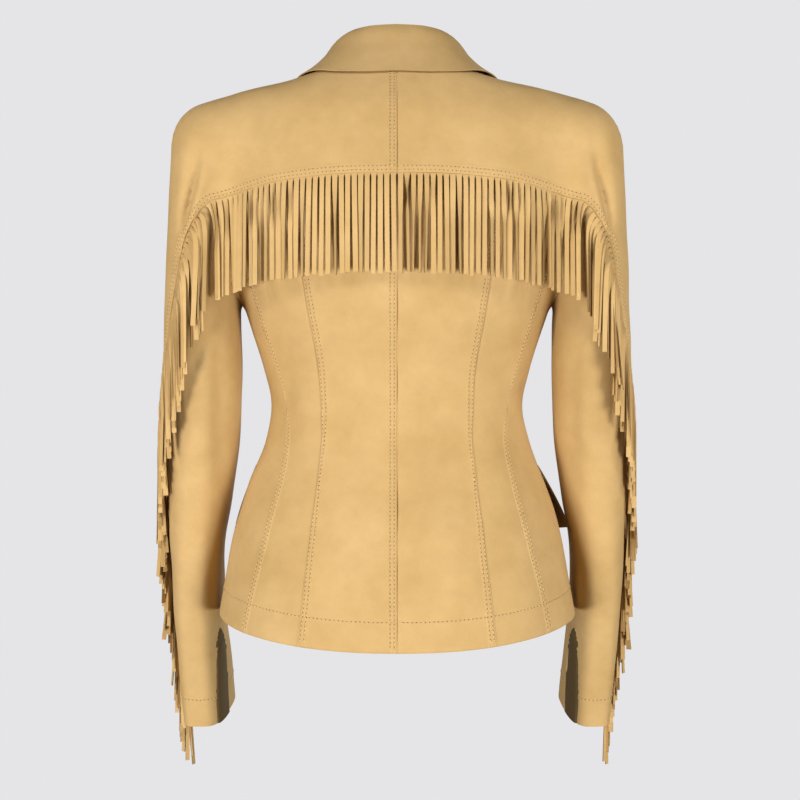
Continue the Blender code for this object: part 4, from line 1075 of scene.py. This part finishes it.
def add_fronts(line, material, rows):
    """Both fronts. The right one lies over the left one at the centre."""
    straight, bend = front_edge(line)
    edge = join(straight, bend)
    across = np.linspace(line["side_front"][0, 0], edge[0, 0], FRONT_HEM_STEPS)
    hem = np.column_stack([across, np.full(FRONT_HEM_STEPS, HEM_SIDE_HEIGHT)])
    hem = even(to_hem(on_side(hem, -1)), DENSE)
    hem[0] = line["side_front"][0]
    hem[-1] = edge[0]
    side_edge = join(line["side_front"], line["arm_front"])
    grid = patch(hem, line["shoulder"][::-1], side_edge, edge,
                 close_shares(FRONT_SIZE[0], STITCHED_EDGE), close_shares(FRONT_SIZE[1]))
    near_edge = np.interp(grid[..., 0], UNDERLAP_ACROSS, (1, 0))
    below_break = np.interp(grid[..., 2], UNDERLAP_HEIGHT, (1, 0))
    under = near_edge * below_break
    under = under**2 * (3 - 2 * under)
    for side, lift in ((1, -UNDERLAP_DEPTH * under), (-1, 0.0)):
        outer = add_panel("front", side, grid, material, lift=lift, seams="blt", stitched="l")
        keep_rows(rows, outer[:FRONT_SIDE_ROWS], side, "l")
        keep_rows(rows, outer, side, "b", HEM_STITCH_ROW)
        keep_rows(rows, outer, side, "r", EDGE_STITCH_ROW)
    return bend


def by_cell(parts, at):
    """Points by cell number along parts, each given as its number of cells and its even points."""
    points = np.zeros((len(at), 3))
    start = 0
    for cells, line in parts:
        inside = (at >= start) & (at <= start + cells)
        where = (at[inside] - start) / cells * (len(line) - 1)
        for axis in range(3):
            points[inside, axis] = np.interp(where, np.arange(len(line)), line[:, axis])
        start += cells
    return points


def station_lines(line):
    """Dense fringed seam, front seam and middle line of the sleeve, from its first station."""
    count = len(STATIONS)
    table = np.column_stack([np.arange(count), STATIONS])
    names = ("at", "seam_height", "seam_angle", "front_height", "front_angle")
    at = np.linspace(0, count - 1, (count - 1) * STATION_STEPS + 1)
    seam_height, seam_angle, front_height, front_angle = (column(table, names, name, at)
                                                          for name in names[1:])
    seam = on_sleeve(seam_height, seam_angle)
    front = on_sleeve(front_height, front_angle)
    middle = on_sleeve((seam_height + front_height) / 2, (seam_angle + front_angle) / 2)
    seam_start = settle(np.linspace(line["lip_side"][-1], seam[0], START_STEPS))
    front_start = settle(np.linspace(line["arm_front"][-1], front[0], START_STEPS))
    seam_start[0] = line["lip_side"][-1]
    front_start[0] = line["arm_front"][-1]
    return seam_start, seam, front_start, front, middle, (seam_height + front_height) / 2


def cuff_height(degrees):
    """Height of the cuff's edge at ring angles: it is lower at the back."""
    sine = np.sin(np.radians(degrees))
    power = 2 / SLEEVE[1, SLEEVE_COLUMNS.index("squareness")]
    return CUFF_HEIGHT - CUFF_TILT * np.sign(sine) * np.abs(sine)**power


def add_under_sleeves(line, sleeve, material, rows):
    """The under sleeves: the back and the inner side of each sleeve."""
    seam_start, seam, front_start, front, _, _ = sleeve
    top = join(line["arm_back"][::-1], line["arm_under"], line["arm_front"])
    turns = np.linspace(STATIONS[-1, 1], 360 + STATIONS[-1, 3], CUFF_STEPS)
    cuff = even(on_sleeve(cuff_height(turns), turns), DENSE)
    cuff[0] = seam[-1]
    cuff[-1] = front[-1]
    u = close_shares(UNDER_SLEEVE_SIZE[0])
    v = close_shares(UNDER_SLEEVE_SIZE[1])
    edges = [sampled(top, u), sampled(cuff, u), sampled(join(seam_start, seam), v),
             sampled(join(front_start, front), v)]

    def unrolled(p):
        return np.column_stack([ring_turn(p), p[:, 2]])

    flat_edges = [unrolled(edge) for edge in edges]
    ring_edges = [on_ring(edge[:, 1], edge[:, 0]) for edge in flat_edges]
    shift = blended(*(a - b for a, b in zip(edges, ring_edges)), u, v)
    flat = blended(*flat_edges, u, v)
    grid = settle(on_ring(flat[..., 1], flat[..., 0]) + shift)
    grid[0], grid[-1], grid[:, 0], grid[:, -1] = edges
    for side in SIDES:
        outer = add_panel("under_sleeve", side, grid, material, seams="blr")
        keep_rows(rows, outer, side, "t", HEM_STITCH_ROW)


def turned_between(a, b, share):
    """Directions between two sets of directions, by even turning."""
    a = unit(a)
    b = unit(b)
    angle = np.arccos(np.clip((a * b).sum(axis=-1), -1, 1))[:, None, None]
    share = share[None, :, None]
    return (np.sin((1 - share) * angle) * a[:, None] + np.sin(share * angle) * b[:, None]) / np.sin(angle)


def add_yokes(line, sleeve, material, rows):
    """The yokes, each cut in one with its upper sleeve. Gives the fringed edge on the form."""
    seam_start, seam, front_start, front, middle, heights = sleeve
    sleeve_cells = len(STATIONS) - 1
    yoke_cells = 2 * LIP_CELLS
    crest = even(smooth_line(YOKE_CREST), DENSE)
    yoke_at = close_shares(YOKE_SIZE[0], STITCHED_EDGE, (), YOKE_CELL) * yoke_cells
    sleeve_at = close_shares(UPPER_SLEEVE_LENGTH, ()) * (sleeve_cells + 1) + yoke_cells
    at = np.r_[yoke_at, sleeve_at[1:]]
    lower = by_cell([(LIP_CELLS, line["lip_centre"]), (LIP_CELLS, line["lip_side"]), (1, seam_start),
                     (sleeve_cells, seam)], at)
    upper = by_cell([(NECK_CELLS, line["neck"]), (yoke_cells - NECK_CELLS, line["shoulder"]),
                     (1, front_start), (sleeve_cells, front)], at)
    crease = by_cell([(yoke_cells, crest), (1, np.array([crest[-1], middle[0]])),
                      (sleeve_cells, middle)], at)
    part = np.clip(at / yoke_cells, 0, 1)
    pivot = YOKE_PIVOT_CENTRE * (1 - part)[:, None] + YOKE_PIVOT_TIP * part[:, None]
    first = yoke_cells + 1
    height = np.interp(at, np.linspace(first, first + sleeve_cells, len(heights)), heights)
    x, y, _, _, _ = sleeve_ring(height)
    past = np.clip((at - yoke_cells) / SLEEVE_PIVOT_CELLS, 0, 1)
    sleeve_pivot = np.column_stack([YOKE_PIVOT_TIP[0] * (1 - past) + x * past, y * past, height])
    pivot = np.where((at > first)[:, None], sleeve_pivot, pivot)
    between = (at > yoke_cells) & (at <= first)
    end_pivot = sleeve_pivot[at > first][0]
    pivot[between] = YOKE_PIVOT_TIP + (end_pivot - YOKE_PIVOT_TIP) * (at[between] - yoke_cells)[:, None]
    share = np.linspace(0, 1, ARC_STEPS)
    ways = [lower - pivot, crease - pivot, upper - pivot]
    turns = np.concatenate([turned_between(ways[0], ways[1], share),
                            turned_between(ways[1], ways[2], share)[:, 1:]], axis=1)
    arcs = cast(np.broadcast_to(pivot[:, None], turns.shape), turns)
    arcs[:, 0] = lower
    arcs[:, -1] = upper
    across = close_shares(YOKE_SIZE[1], STITCHED_EDGE, STITCHED_EDGE, YOKE_CELL)
    grid = np.array([sampled(arc, across) for arc in arcs])
    grid[:, 1:-1] = settle(grid[:, 1:-1], rounds=SHORT_SETTLE)
    lift = YOKE_LIFT * (1 - across**2 * (3 - 2 * across))[None, :]
    yoke_rows = int(np.sum(at <= yoke_cells))
    for side in SIDES:
        outer = add_panel("yoke", side, grid, material, lift=lift, seams="blr",
                          stitched="blr" if side > 0 else "lr")
        keep_rows(rows, outer, side, "l")
        keep_rows(rows, outer[:yoke_rows], side, "r")
        if side > 0:
            keep_rows(rows, outer, side, "b")
        keep_rows(rows, outer, side, "t", HEM_STITCH_ROW)
    return join(line["lip_centre"], line["lip_side"], seam_start, seam)


def add_collar(material, rows):
    """The collar: a stand that rises from the neckline, a fold, and a fall that lies on the yoke."""
    level = YOKE_LIFT + LAYER_GAP + WALL / 2
    half = [even(smooth_line(table), COLLAR_FINE_CELLS // 2)
            for table in (COLLAR_BASE, COLLAR_FOLD, COLLAR_EDGE)]
    half[2] = settle(half[2], level)
    base, fold, edge = (np.vstack([mirrored(line[:0:-1]), line]) for line in half)
    rise = unit(fold - base)
    fall = unit(edge - fold)
    out = unit(fall - rise)
    top = fold - rise * COLLAR_FOLD_RADIUS
    crown = fold + fall * COLLAR_FOLD_RADIUS + out * COLLAR_FOLD_WIDTH / 2
    profile = [base, (base + top) / 2, top]
    for turn in COLLAR_FOLD_TURNS:
        profile.append(top + out * COLLAR_FOLD_WIDTH * (1 - math.cos(turn)) / 2
                       + unit(rise - fall) * COLLAR_FOLD_RADIUS * math.sin(turn))
    profile.append(crown)
    for share in COLLAR_FALL_SHARES:
        bulge = COLLAR_BULGE * math.sin(math.pi * share)
        profile.append(crown * (1 - share) + edge * share + out * bulge)
    profile.append(edge)
    across = close_shares(COLLAR_WIDTH, PLAIN_EDGE, STITCHED_EDGE, COLLAR_CELL)
    middle = np.array([sampled(smooth_line(points), across) for points in np.stack(profile, axis=1)])
    fall_start = int(len(across) * COLLAR_FALL_START)
    middle[:, fall_start:] = lifted_clear(middle[:, fall_start:], level)
    out = unit(np.cross(np.gradient(middle, axis=1), np.gradient(middle, axis=0)))
    out = smoothed(out, COLLAR_SMOOTHINGS)
    outer = middle + out * (WALL / 2 + edge_relief(middle, "r"))[..., None]
    add_sheet("collar", outer, middle - out * WALL / 2, 1, material)
    half_rows = len(middle) // 2
    row = row_at(outer, "r", EDGE_STITCH_ROW[0])
    rows.append((row[half_rows:], 1))
    rows.append((mirrored(row)[:half_rows + 1][::-1], -1))


def smoothed(grid, rounds):
    """Directions averaged with their neighbours."""
    for _ in range(rounds):
        grid = grid.copy()
        grid[1:-1] = (grid[:-2] + 2 * grid[1:-1] + grid[2:]) / 4
        grid[:, 1:-1] = (grid[:, :-2] + 2 * grid[:, 1:-1] + grid[:, 2:]) / 4
    return unit(grid)


def add_lapels(bend, material, rows):
    """The lapels: leaves turned back on the fronts, each with a soft roll along the front edge."""
    roll = smooth_line(bend[bend[:, 0] > LAPEL_START])
    roll = roll[roll[:, 2] < LAPEL_TOP]
    free = on_side(smooth_line(LAPEL_EDGE), -1)
    u, v = (close_shares(size, PLAIN_EDGE, STITCHED_EDGE, cell)
            for size, cell in zip(LAPEL_SIZE, LAPEL_CELLS))
    roll = sampled(roll, v)
    free = sampled(free, v)
    grid = settle(roll[:, None] * (1 - u)[None, :, None] + free[:, None] * u[None, :, None])
    out = normal(grid)
    grid[:, 0] += unit(grid[:, 1] - grid[:, 0]) * LAPEL_INSET
    roll_lift = LAPEL_ROLL * np.exp(-(u / LAPEL_ROLL_SHARE)**2)
    outer = grid + out * (2 * LAYER_GAP + WALL + roll_lift[None, :] + edge_relief(grid, "rt"))[..., None]
    for side, word in SIDES.items():
        add_sheet(f"lapel_{word}", outer, outer - out * WALL, side, material)
        keep_rows(rows, outer, side, "rt", EDGE_STITCH_ROW)


def add_flaps(material, rows):
    """The pocket flaps on front and side."""
    u = close_shares(FLAP_SIZE[0], STITCHED_EDGE, STITCHED_EDGE, FLAP_CELL)
    v = close_shares(FLAP_SIZE[1], PLAIN_EDGE, STITCHED_EDGE, FLAP_CELL)
    top = sampled(settle(smooth_line(FLAP_TOP)), u)
    drop = FLAP_DEPTH[0] + (FLAP_DEPTH[1] - FLAP_DEPTH[0]) * u
    grid = top[None] + DOWN * (v[:, None] * drop[None])[..., None]
    heights = grid[..., 2].copy()
    for _ in range(FLAP_ROUNDS):
        grid = settle(grid, rounds=LONGER_SETTLE)
        grid[..., 2] = heights
    out = normal(grid)
    stand = FLAP_STAND * v[:, None]
    outer = grid + out * (2 * LAYER_GAP + WALL + stand + edge_relief(grid, "lrt"))[..., None]
    flare = RIGHT_FLAP_FLARE * u[None, :]**2 * v[:, None]
    for side, outer in ((1, outer), (-1, outer + out * flare[..., None])):
        add_sheet(f"pocket_flap_{SIDES[side]}", outer, outer - out * WALL, side, material)
        keep_rows(rows, outer, side, "lrt", EDGE_STITCH_ROW)


def add_buttons(horn, thread):
    """Buttons down the front edge: dished discs with crossed thread."""
    turns = np.linspace(0, 2 * math.pi, BUTTON_FINE_SIDES, endpoint=False)
    for number, height in enumerate(BUTTON_HEIGHTS, start=1):
        node = f"button_{number}"
        low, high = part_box(node)
        seat = on_side([(0.0, height)], -1)
        out = normal(seat)[0]
        back = max(float((np.array(corner) - seat[0]) @ out) for corner in (low, high)) - BUTTON_THICKNESS
        seat = seat[0] + out * max(back, LAYER_GAP)
        side = unit(np.cross(np.array([0.0, 0.0, 1.0]), out))
        up = np.cross(out, side)
        circle = np.cos(turns)[:, None] * side + np.sin(turns)[:, None] * up
        vertices = []
        for radius, level in BUTTON_FINE_PROFILE:
            vertices.extend(seat + circle * BUTTON_RADIUS * radius + out * BUTTON_THICKNESS * level)
        faces = ring_faces(len(BUTTON_FINE_PROFILE), BUTTON_FINE_SIDES)
        stand_for(add_mesh(f"disc_{node}", vertices, faces, horn, BUTTON_SHARP), node)
        top = seat + out * BUTTON_THICKNESS * BUTTON_FINE_PROFILE[-1][1]
        threads = []
        thread_faces = []
        for way in ((side + up), (side - up)):
            for shift in (-THREAD_APART, THREAD_APART):
                other = unit(np.cross(out, way))
                start = len(threads) * 8
                ends = [top + unit(way) * end * THREAD_REACH + other * shift + out * THREAD_RISE
                        for end in (-1, 1)]
                box = [e + other * a * THREAD_HALF_WIDTH + out * b * THREAD_HALF_DEPTH for e in ends
                       for a, b in ((-1, -1), (1, -1), (1, 1), (-1, 1))]
                threads.append(np.array(box))
                thread_faces.extend(tuple(start + k for k in face) for face in BOX_FACES)
        add_mesh(f"thread_{node}", np.vstack(threads), thread_faces, thread, THREAD_SHARP)


def hang_clearance(path, push, width, across):
    """How far each strand has to stand off so that it hangs clear of the cloth below its root."""
    level = FRINGE_LEVEL + FRINGE_THICKNESS + FRINGE_SPARE
    clear = np.zeros(len(push))
    weight = np.clip(np.arange(path.shape[1]) / ROOT_STEPS, 0, 1)[None, :, None]
    for _ in range(HANG_ROUNDS):
        low = np.full(len(push), FAR_AWAY)
        for side in (-0.5, 0.5):
            p = path + across * side * width + push[:, None] * clear[:, None, None] * weight
            low = np.minimum(low, outside(p[:, 2:]).min(axis=1))
        clear = clear + np.maximum(level - low, -clear)
    return path + push[:, None] * clear[:, None, None] * weight


def strand_faces(count):
    """Faces of strands made of rings of four points: their four long sides in turn, then their ends."""
    base = (np.arange(count * STRAND_STEPS) * 4).reshape(count, STRAND_STEPS)
    low = base[:, :-1].ravel()
    high = base[:, 1:].ravel()
    faces = []
    for a in range(4):
        b = (a + 1) % 4
        faces.append(np.stack([low + a, low + b, high + b, high + a], axis=-1))
    for end in (base[:, 0], base[:, -1]):
        faces.append(np.stack([end + a for a in range(4)], axis=-1))
    return np.vstack(faces)


def add_fringe(name, edge, start, end, side, materials, look):
    """One row of strands below the fringed seam between two distances along it.

    Each strand leaves the seam squarely, turns down, twists a little and hangs clear of the cloth.
    """
    rng = np.random.default_rng(look["seed"])
    count = look["count"]
    places = np.linspace(start, end, count + 1)
    centre_places = (places[:-1] + places[1:]) / 2
    root = along(edge, centre_places)
    out = unit(along(edge, centre_places, normal(edge)))
    run = unit(along(edge, centre_places + RUN_STEP) - along(edge, centre_places - RUN_STEP))
    away = unit(np.cross(out, run))
    turn_back = np.interp(np.linspace(0, 1, count), TURN_BACK_PARTS, TURN_BACK) * look["turn_back"]
    facing = unit(out + away * turn_back[:, None])
    facing = unit(facing * (1 - look["facing"]) + BACKWARDS * look["facing"])
    wide = unit(np.cross(DOWN, facing))
    thick = unit(np.cross(wide, DOWN))
    sag = away * np.array([1.0, 1.0, 0.0])
    sway_power = rng.uniform(*SWAY_POWERS, count)[:, None]
    pitch = (end - start) / count
    length = look["length"] * (1 + rng.normal(0, LENGTH_SPREAD, count))
    drift = np.cumsum(rng.normal(0, 1, count))
    drift = drift - np.convolve(drift, np.ones(DRIFT_SPAN) / DRIFT_SPAN, mode="same")
    sway = DRIFT_SHARE * drift + (1 - DRIFT_SHARE) * rng.normal(0, 1, count)
    sway = np.clip(look["sway"] * sway, -MOST_SWAY, MOST_SWAY)
    twist = np.radians(rng.normal(0, look["twist"], count))
    wild = rng.random(count) < look["wild_share"]
    twist = np.where(wild, np.radians(rng.uniform(*WILD_TWISTS, count)) * rng.choice([-1, 1], count), twist)
    lift = np.where(np.arange(count) % 2 == 0, *STAGGERS) * look["stagger"]
    lift = lift + rng.uniform(0, look["stray"], count)
    clump = np.repeat(np.arange(count), rng.integers(*CLUMP_SIZES, count))[:count]
    sway = sway + look["clump"] * rng.uniform(-1, 1, count)[clump]
    lift = lift + look["clump_lift"] * rng.random(count)[clump]
    t = np.linspace(0, 1, STRAND_STEPS)**STEP_POWER
    drop = t[None, :] * length[:, None]
    bend = 1 - np.exp(-drop / look["bend"])
    path = (root[:, None] + out[:, None] * (FRINGE_LEVEL + FRINGE_THICKNESS / 2)
            + sag[:, None] * (look["reach"] * bend)[..., None]
            + DOWN * (drop - look["hook"] * bend * np.linalg.norm(sag, axis=1)[:, None])[..., None]
            + thick[:, None] * (look["fan"] * drop + (look["stand"] + lift[:, None]) * bend)[..., None]
            + wide[:, None] * (sway[:, None] * t[None, :]**sway_power)[..., None])
    path = path + away[:, None] * FRINGE_PARTING
    grow = np.clip(drop / CUT_START, 0, 1)
    grow = grow**2 * (3 - 2 * grow)
    turn = twist[:, None] * np.clip((drop - CUT_START) / (look["length"] * TWIST_SHARE), 0, 1)
    near = np.zeros(count, dtype=bool)
    for low, high in TURNED_EARLY[side]:
        near |= (root[:, 0] >= low) & (root[:, 0] <= high)
    early = near & (rng.random(count) < EARLY_SHARE)
    early = np.where(early, np.radians(rng.uniform(*EARLY_TWISTS, count)), 0.0)
    turn = turn + early[:, None] * np.sin(math.pi * np.clip(t / rng.uniform(*EARLY_ENDS), 0, 1))[None, :]
    hang_across = wide[:, None] * np.cos(turn)[..., None] + thick[:, None] * np.sin(turn)[..., None]
    across = unit(run[:, None] * (1 - grow)[..., None] + hang_across * grow[..., None])
    push = unit(out * np.array([1.0, 1.0, 0.0]))
    path = hang_clearance(path, push, look["width"], across)
    tangent = unit(np.gradient(path, axis=1))
    across = unit(across - (across * tangent).sum(axis=-1, keepdims=True) * tangent)
    through = np.cross(tangent, across)
    spread = (1 + rng.normal(0, WIDTH_SPREAD, count))[:, None]
    width = pitch * (1 - grow) * ROOT_OVERLAP + look["width"] * grow * spread
    half = across * (width / 2)[..., None]
    depth = through * FRINGE_THICKNESS / 2
    rings = np.stack([path - half + depth, path + half + depth, path + half - depth,
                      path - half - depth], axis=2)
    vertices = sided(rings.reshape(-1, 3), side)
    piece = add_mesh(name, vertices, strand_faces(count), materials[0], STRAND_SHARP)
    cells = count * (STRAND_STEPS - 1)
    # The strands' two cut edges get the darker suede, a painted shade for the shadow between the strands
    paint(piece, materials[1], ((cells, 2 * cells), (3 * cells, 4 * cells)))
    stand_for(piece, name.replace("strands_", "fringe_"))


def add_fringes(edge, materials):
    """Fringe below the yoke across the back, and down both sleeves."""
    steps = lengths(edge)
    across = np.abs(edge[:, 0] - BACK_FRINGE_END)
    below = edge[:, 2] < FRINGE_CORNER
    back_end = steps[np.argmin(np.where(below, FAR_AWAY, across))]
    sleeve_start = steps[np.argmin(np.where(below, FAR_AWAY, np.abs(edge[:, 0] - SLEEVE_FRINGE_START)))]
    sleeve_end = steps[np.argmin(np.abs(edge[:, 2] - SLEEVE_FRINGE_END))]
    for side, word in SIDES.items():
        add_fringe(f"strands_back_{word}", edge, BACK_FRINGE_START, back_end, side, materials,
                   dict(BACK_LOOK, seed=BACK_LOOK["seed"] + side))
        add_fringe(f"strands_sleeve_{word}", edge, sleeve_start, sleeve_end, side, materials,
                   dict(SLEEVE_LOOK, seed=SLEEVE_LOOK["seed"] + side))


def noise(nodes, links, place, scale, detail, roughness=0.55):
    """A noise texture in object space."""
    texture = nodes.new("ShaderNodeTexNoise")
    texture.inputs["Scale"].default_value = scale
    texture.inputs["Detail"].default_value = detail
    texture.inputs["Roughness"].default_value = roughness
    links.new(place, texture.inputs["Vector"])
    return texture.outputs["Fac"]


def ramp(nodes, links, value, stops):
    """A colour ramp from a value, with stops of place and colour."""
    made = nodes.new("ShaderNodeValToRGB")
    made.color_ramp.elements[0].position = stops[0][0]
    made.color_ramp.elements[0].color = stops[0][1]
    made.color_ramp.elements[1].position = stops[-1][0]
    made.color_ramp.elements[1].color = stops[-1][1]
    for place, colour in stops[1:-1]:
        made.color_ramp.elements.new(place).color = colour
    links.new(value, made.inputs["Fac"])
    return made.outputs["Color"]


def multiplied(nodes, links, factor, a, b):
    """One colour darkened by another, by a share."""
    mix = nodes.new("ShaderNodeMix")
    mix.data_type = "RGBA"
    mix.blend_type = "MULTIPLY"
    mix.inputs["Factor"].default_value = factor
    links.new(a, mix.inputs[6])
    links.new(b, mix.inputs[7])
    return mix.outputs[2]


def new_material(name):
    """A material with its nodes, links, shader and object coordinates."""
    material = bpy.data.materials.new(name)
    material.use_nodes = True
    nodes = material.node_tree.nodes
    place = nodes.new("ShaderNodeTexCoord").outputs["Object"]
    return material, nodes, material.node_tree.links, nodes["Principled BSDF"], place


def stops_of(shades, colour=(1.0, 1.0, 1.0)):
    """Stops of a ramp, from places and the share of a colour at each."""
    return [(at, (*(share * c for c in colour), 1.0)) for at, share in shades]


def suede(name, tone=1.0):
    """Napped suede: cloudy colour, a fine nap and a soft sheen."""
    material, nodes, links, shader, place = new_material(name)
    clouds = [(at, (*(c * tone for c in colour), 1.0)) for at, colour in SUEDE_TONES]
    cloudy = ramp(nodes, links, noise(nodes, links, place, *CLOUDS), clouds)
    brushed = ramp(nodes, links, noise(nodes, links, place, *BRUSH), stops_of(BRUSH_SHADES))
    napped = noise(nodes, links, place, *NAP)
    colour = multiplied(nodes, links, BRUSH_SHARE, cloudy, brushed)
    colour = multiplied(nodes, links, NAP_SHARE, colour, ramp(nodes, links, napped, stops_of(NAP_SHADES)))
    links.new(colour, shader.inputs["Base Color"])
    bump = nodes.new("ShaderNodeBump")
    for socket, value in NAP_BUMP.items():
        bump.inputs[socket].default_value = value
    links.new(napped, bump.inputs["Height"])
    links.new(bump.outputs["Normal"], shader.inputs["Normal"])
    for socket, value in SUEDE_SHADER.items():
        shader.inputs[socket].default_value = value
    return material


def plain_finish(name, colour, roughness, scale, spread):
    """A material with a little cloudiness in its colour, for thread and horn."""
    material, nodes, links, shader, place = new_material(name)
    stops = stops_of(zip(PLAIN_STOPS, (1 - spread, 1 + spread)), colour)
    cloudy = ramp(nodes, links, noise(nodes, links, place, scale, PLAIN_DETAIL), stops)
    links.new(cloudy, shader.inputs["Base Color"])
    shader.inputs["Roughness"].default_value = roughness
    return material


def glowing(name):
    """The even pale grey of floor and backdrop."""
    material = bpy.data.materials.new(name)
    material.use_nodes = True
    nodes = material.node_tree.nodes
    nodes.remove(nodes["Principled BSDF"])
    light = nodes.new("ShaderNodeEmission")
    light.inputs["Color"].default_value = (*BACKGROUND, 1.0)
    light.inputs["Strength"].default_value = 1.0
    material.node_tree.links.new(light.outputs[0], nodes["Material Output"].inputs["Surface"])
    return material


def add_stage():
    """An even pale floor and backdrop, seen by the camera but giving no light of their own."""
    pale = glowing("pale_grey")
    low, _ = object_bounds()
    bpy.ops.mesh.primitive_plane_add(size=STAGE_SIZE, location=(0, 0, low.z - FLOOR_GAP))
    floor = bpy.context.object
    floor.name = "floor"
    bpy.ops.mesh.primitive_uv_sphere_add(segments=BACKDROP_CELLS[0], ring_count=BACKDROP_CELLS[1],
                                         radius=STAGE_SIZE, location=(0, 0, 0))
    backdrop = bpy.context.object
    backdrop.name = "backdrop"
    for thing in (floor, backdrop):
        thing.data.materials.append(pale)
        for ray in ("diffuse", "glossy", "shadow", "transmission", "volume_scatter"):
            setattr(thing, "visible_" + ray, False)


def add_lights():
    """Soft studio light: large panels in front of the garment's back and round it, and a pale sky."""
    world = bpy.data.worlds.new("studio")
    world.use_nodes = True
    nodes = world.node_tree.nodes
    links = world.node_tree.links
    sky = nodes["Background"]
    parts = nodes.new("ShaderNodeSeparateXYZ")
    links.new(nodes.new("ShaderNodeTexCoord").outputs["Generated"], parts.inputs[0])
    place = nodes.new("ShaderNodeMath")
    place.operation = "MULTIPLY_ADD"
    place.inputs[1].default_value = 0.5
    place.inputs[2].default_value = 0.5
    links.new(parts.outputs["Y"], place.inputs[0])
    links.new(ramp(nodes, links, place.outputs[0], stops_of(SKY_SHARES)), sky.inputs["Color"])
    sky.inputs["Strength"].default_value = SKY_STRENGTH
    bpy.context.scene.world = world
    for name, place, size, power in LIGHTS:
        lamp = bpy.data.lights.new(name, "AREA")
        lamp.shape = "RECTANGLE"
        lamp.size, lamp.size_y = size
        lamp.energy = power
        lamp.color = LIGHT_COLOUR
        holder = bpy.data.objects.new(name, lamp)
        bpy.context.scene.collection.objects.link(holder)
        holder.location = place
        holder.visible_camera = False
        away = np.array(place) - np.array(LIGHT_AIM)
        holder.rotation_euler = aim_angles(away)


def aim_angles(away):
    """Angles that turn a lamp so that it shines against a direction."""
    flat = math.hypot(away[0], away[1])
    return (math.atan2(flat, away[2]), 0.0, math.atan2(away[0], -away[1]))


def add_camera():
    """The camera at the photo's angle, looking at the back from straight behind."""
    lens = bpy.data.cameras.new("camera")
    lens.lens = CAMERA_LENS
    lens.sensor_width = SENSOR_WIDTH
    lens.shift_x = CAMERA_SHIFT
    lens.dof.use_dof = False
    camera = bpy.data.objects.new("camera", lens)
    camera.location = CAMERA_PLACE
    camera.rotation_euler = (math.radians(90), 0.0, math.radians(180))
    bpy.context.scene.collection.objects.link(camera)
    bpy.context.scene.camera = camera


def main():
    """Makes all the pieces, then the camera, the lights and the stage."""
    bpy.context.scene.view_settings.view_transform = "Standard"
    for side, table in ((1, LEFT_FOLDS), (-1, RIGHT_FOLDS)):
        FOLD_LINES[side] = [(fold_line(rows), *shape) for rows, *shape in table]
    plain = suede("suede")
    body = (plain, suede("suede_inside_painted_shade", INSIDE_SHADE_TONE))
    fringe = (suede("suede_fringe", FRINGE_TONE), suede("suede_cut_edge_painted_shade", CUT_EDGE_SHADE_TONE))
    thread = plain_finish("thread", *THREAD)
    hole_shade = plain_finish("stitch_hole_painted_shade", *HOLE_SHADE)
    horn = plain_finish("horn", *HORN)
    rows = []
    line = seam_lines()
    sleeve = station_lines(line)
    add_backs(line, body, rows)
    bend = add_fronts(line, body, rows)
    add_under_sleeves(line, sleeve, body, rows)
    edge = add_yokes(line, sleeve, body, rows)
    add_collar(suede("suede_collar", COLLAR_TONE), rows)
    add_lapels(bend, plain, rows)
    add_flaps(plain, rows)
    add_stitches("stitches", rows, thread, *STITCH_PLACE)
    # Dark beads between the stitches: a painted shade for the stitch holes' pits
    add_stitches("stitch_holes_painted_shade", rows, hole_shade, *HOLE_SHADE_PLACE)
    add_buttons(horn, thread)
    add_fringes(edge, fringe)
    add_camera()
    add_lights()
    add_stage()


main()
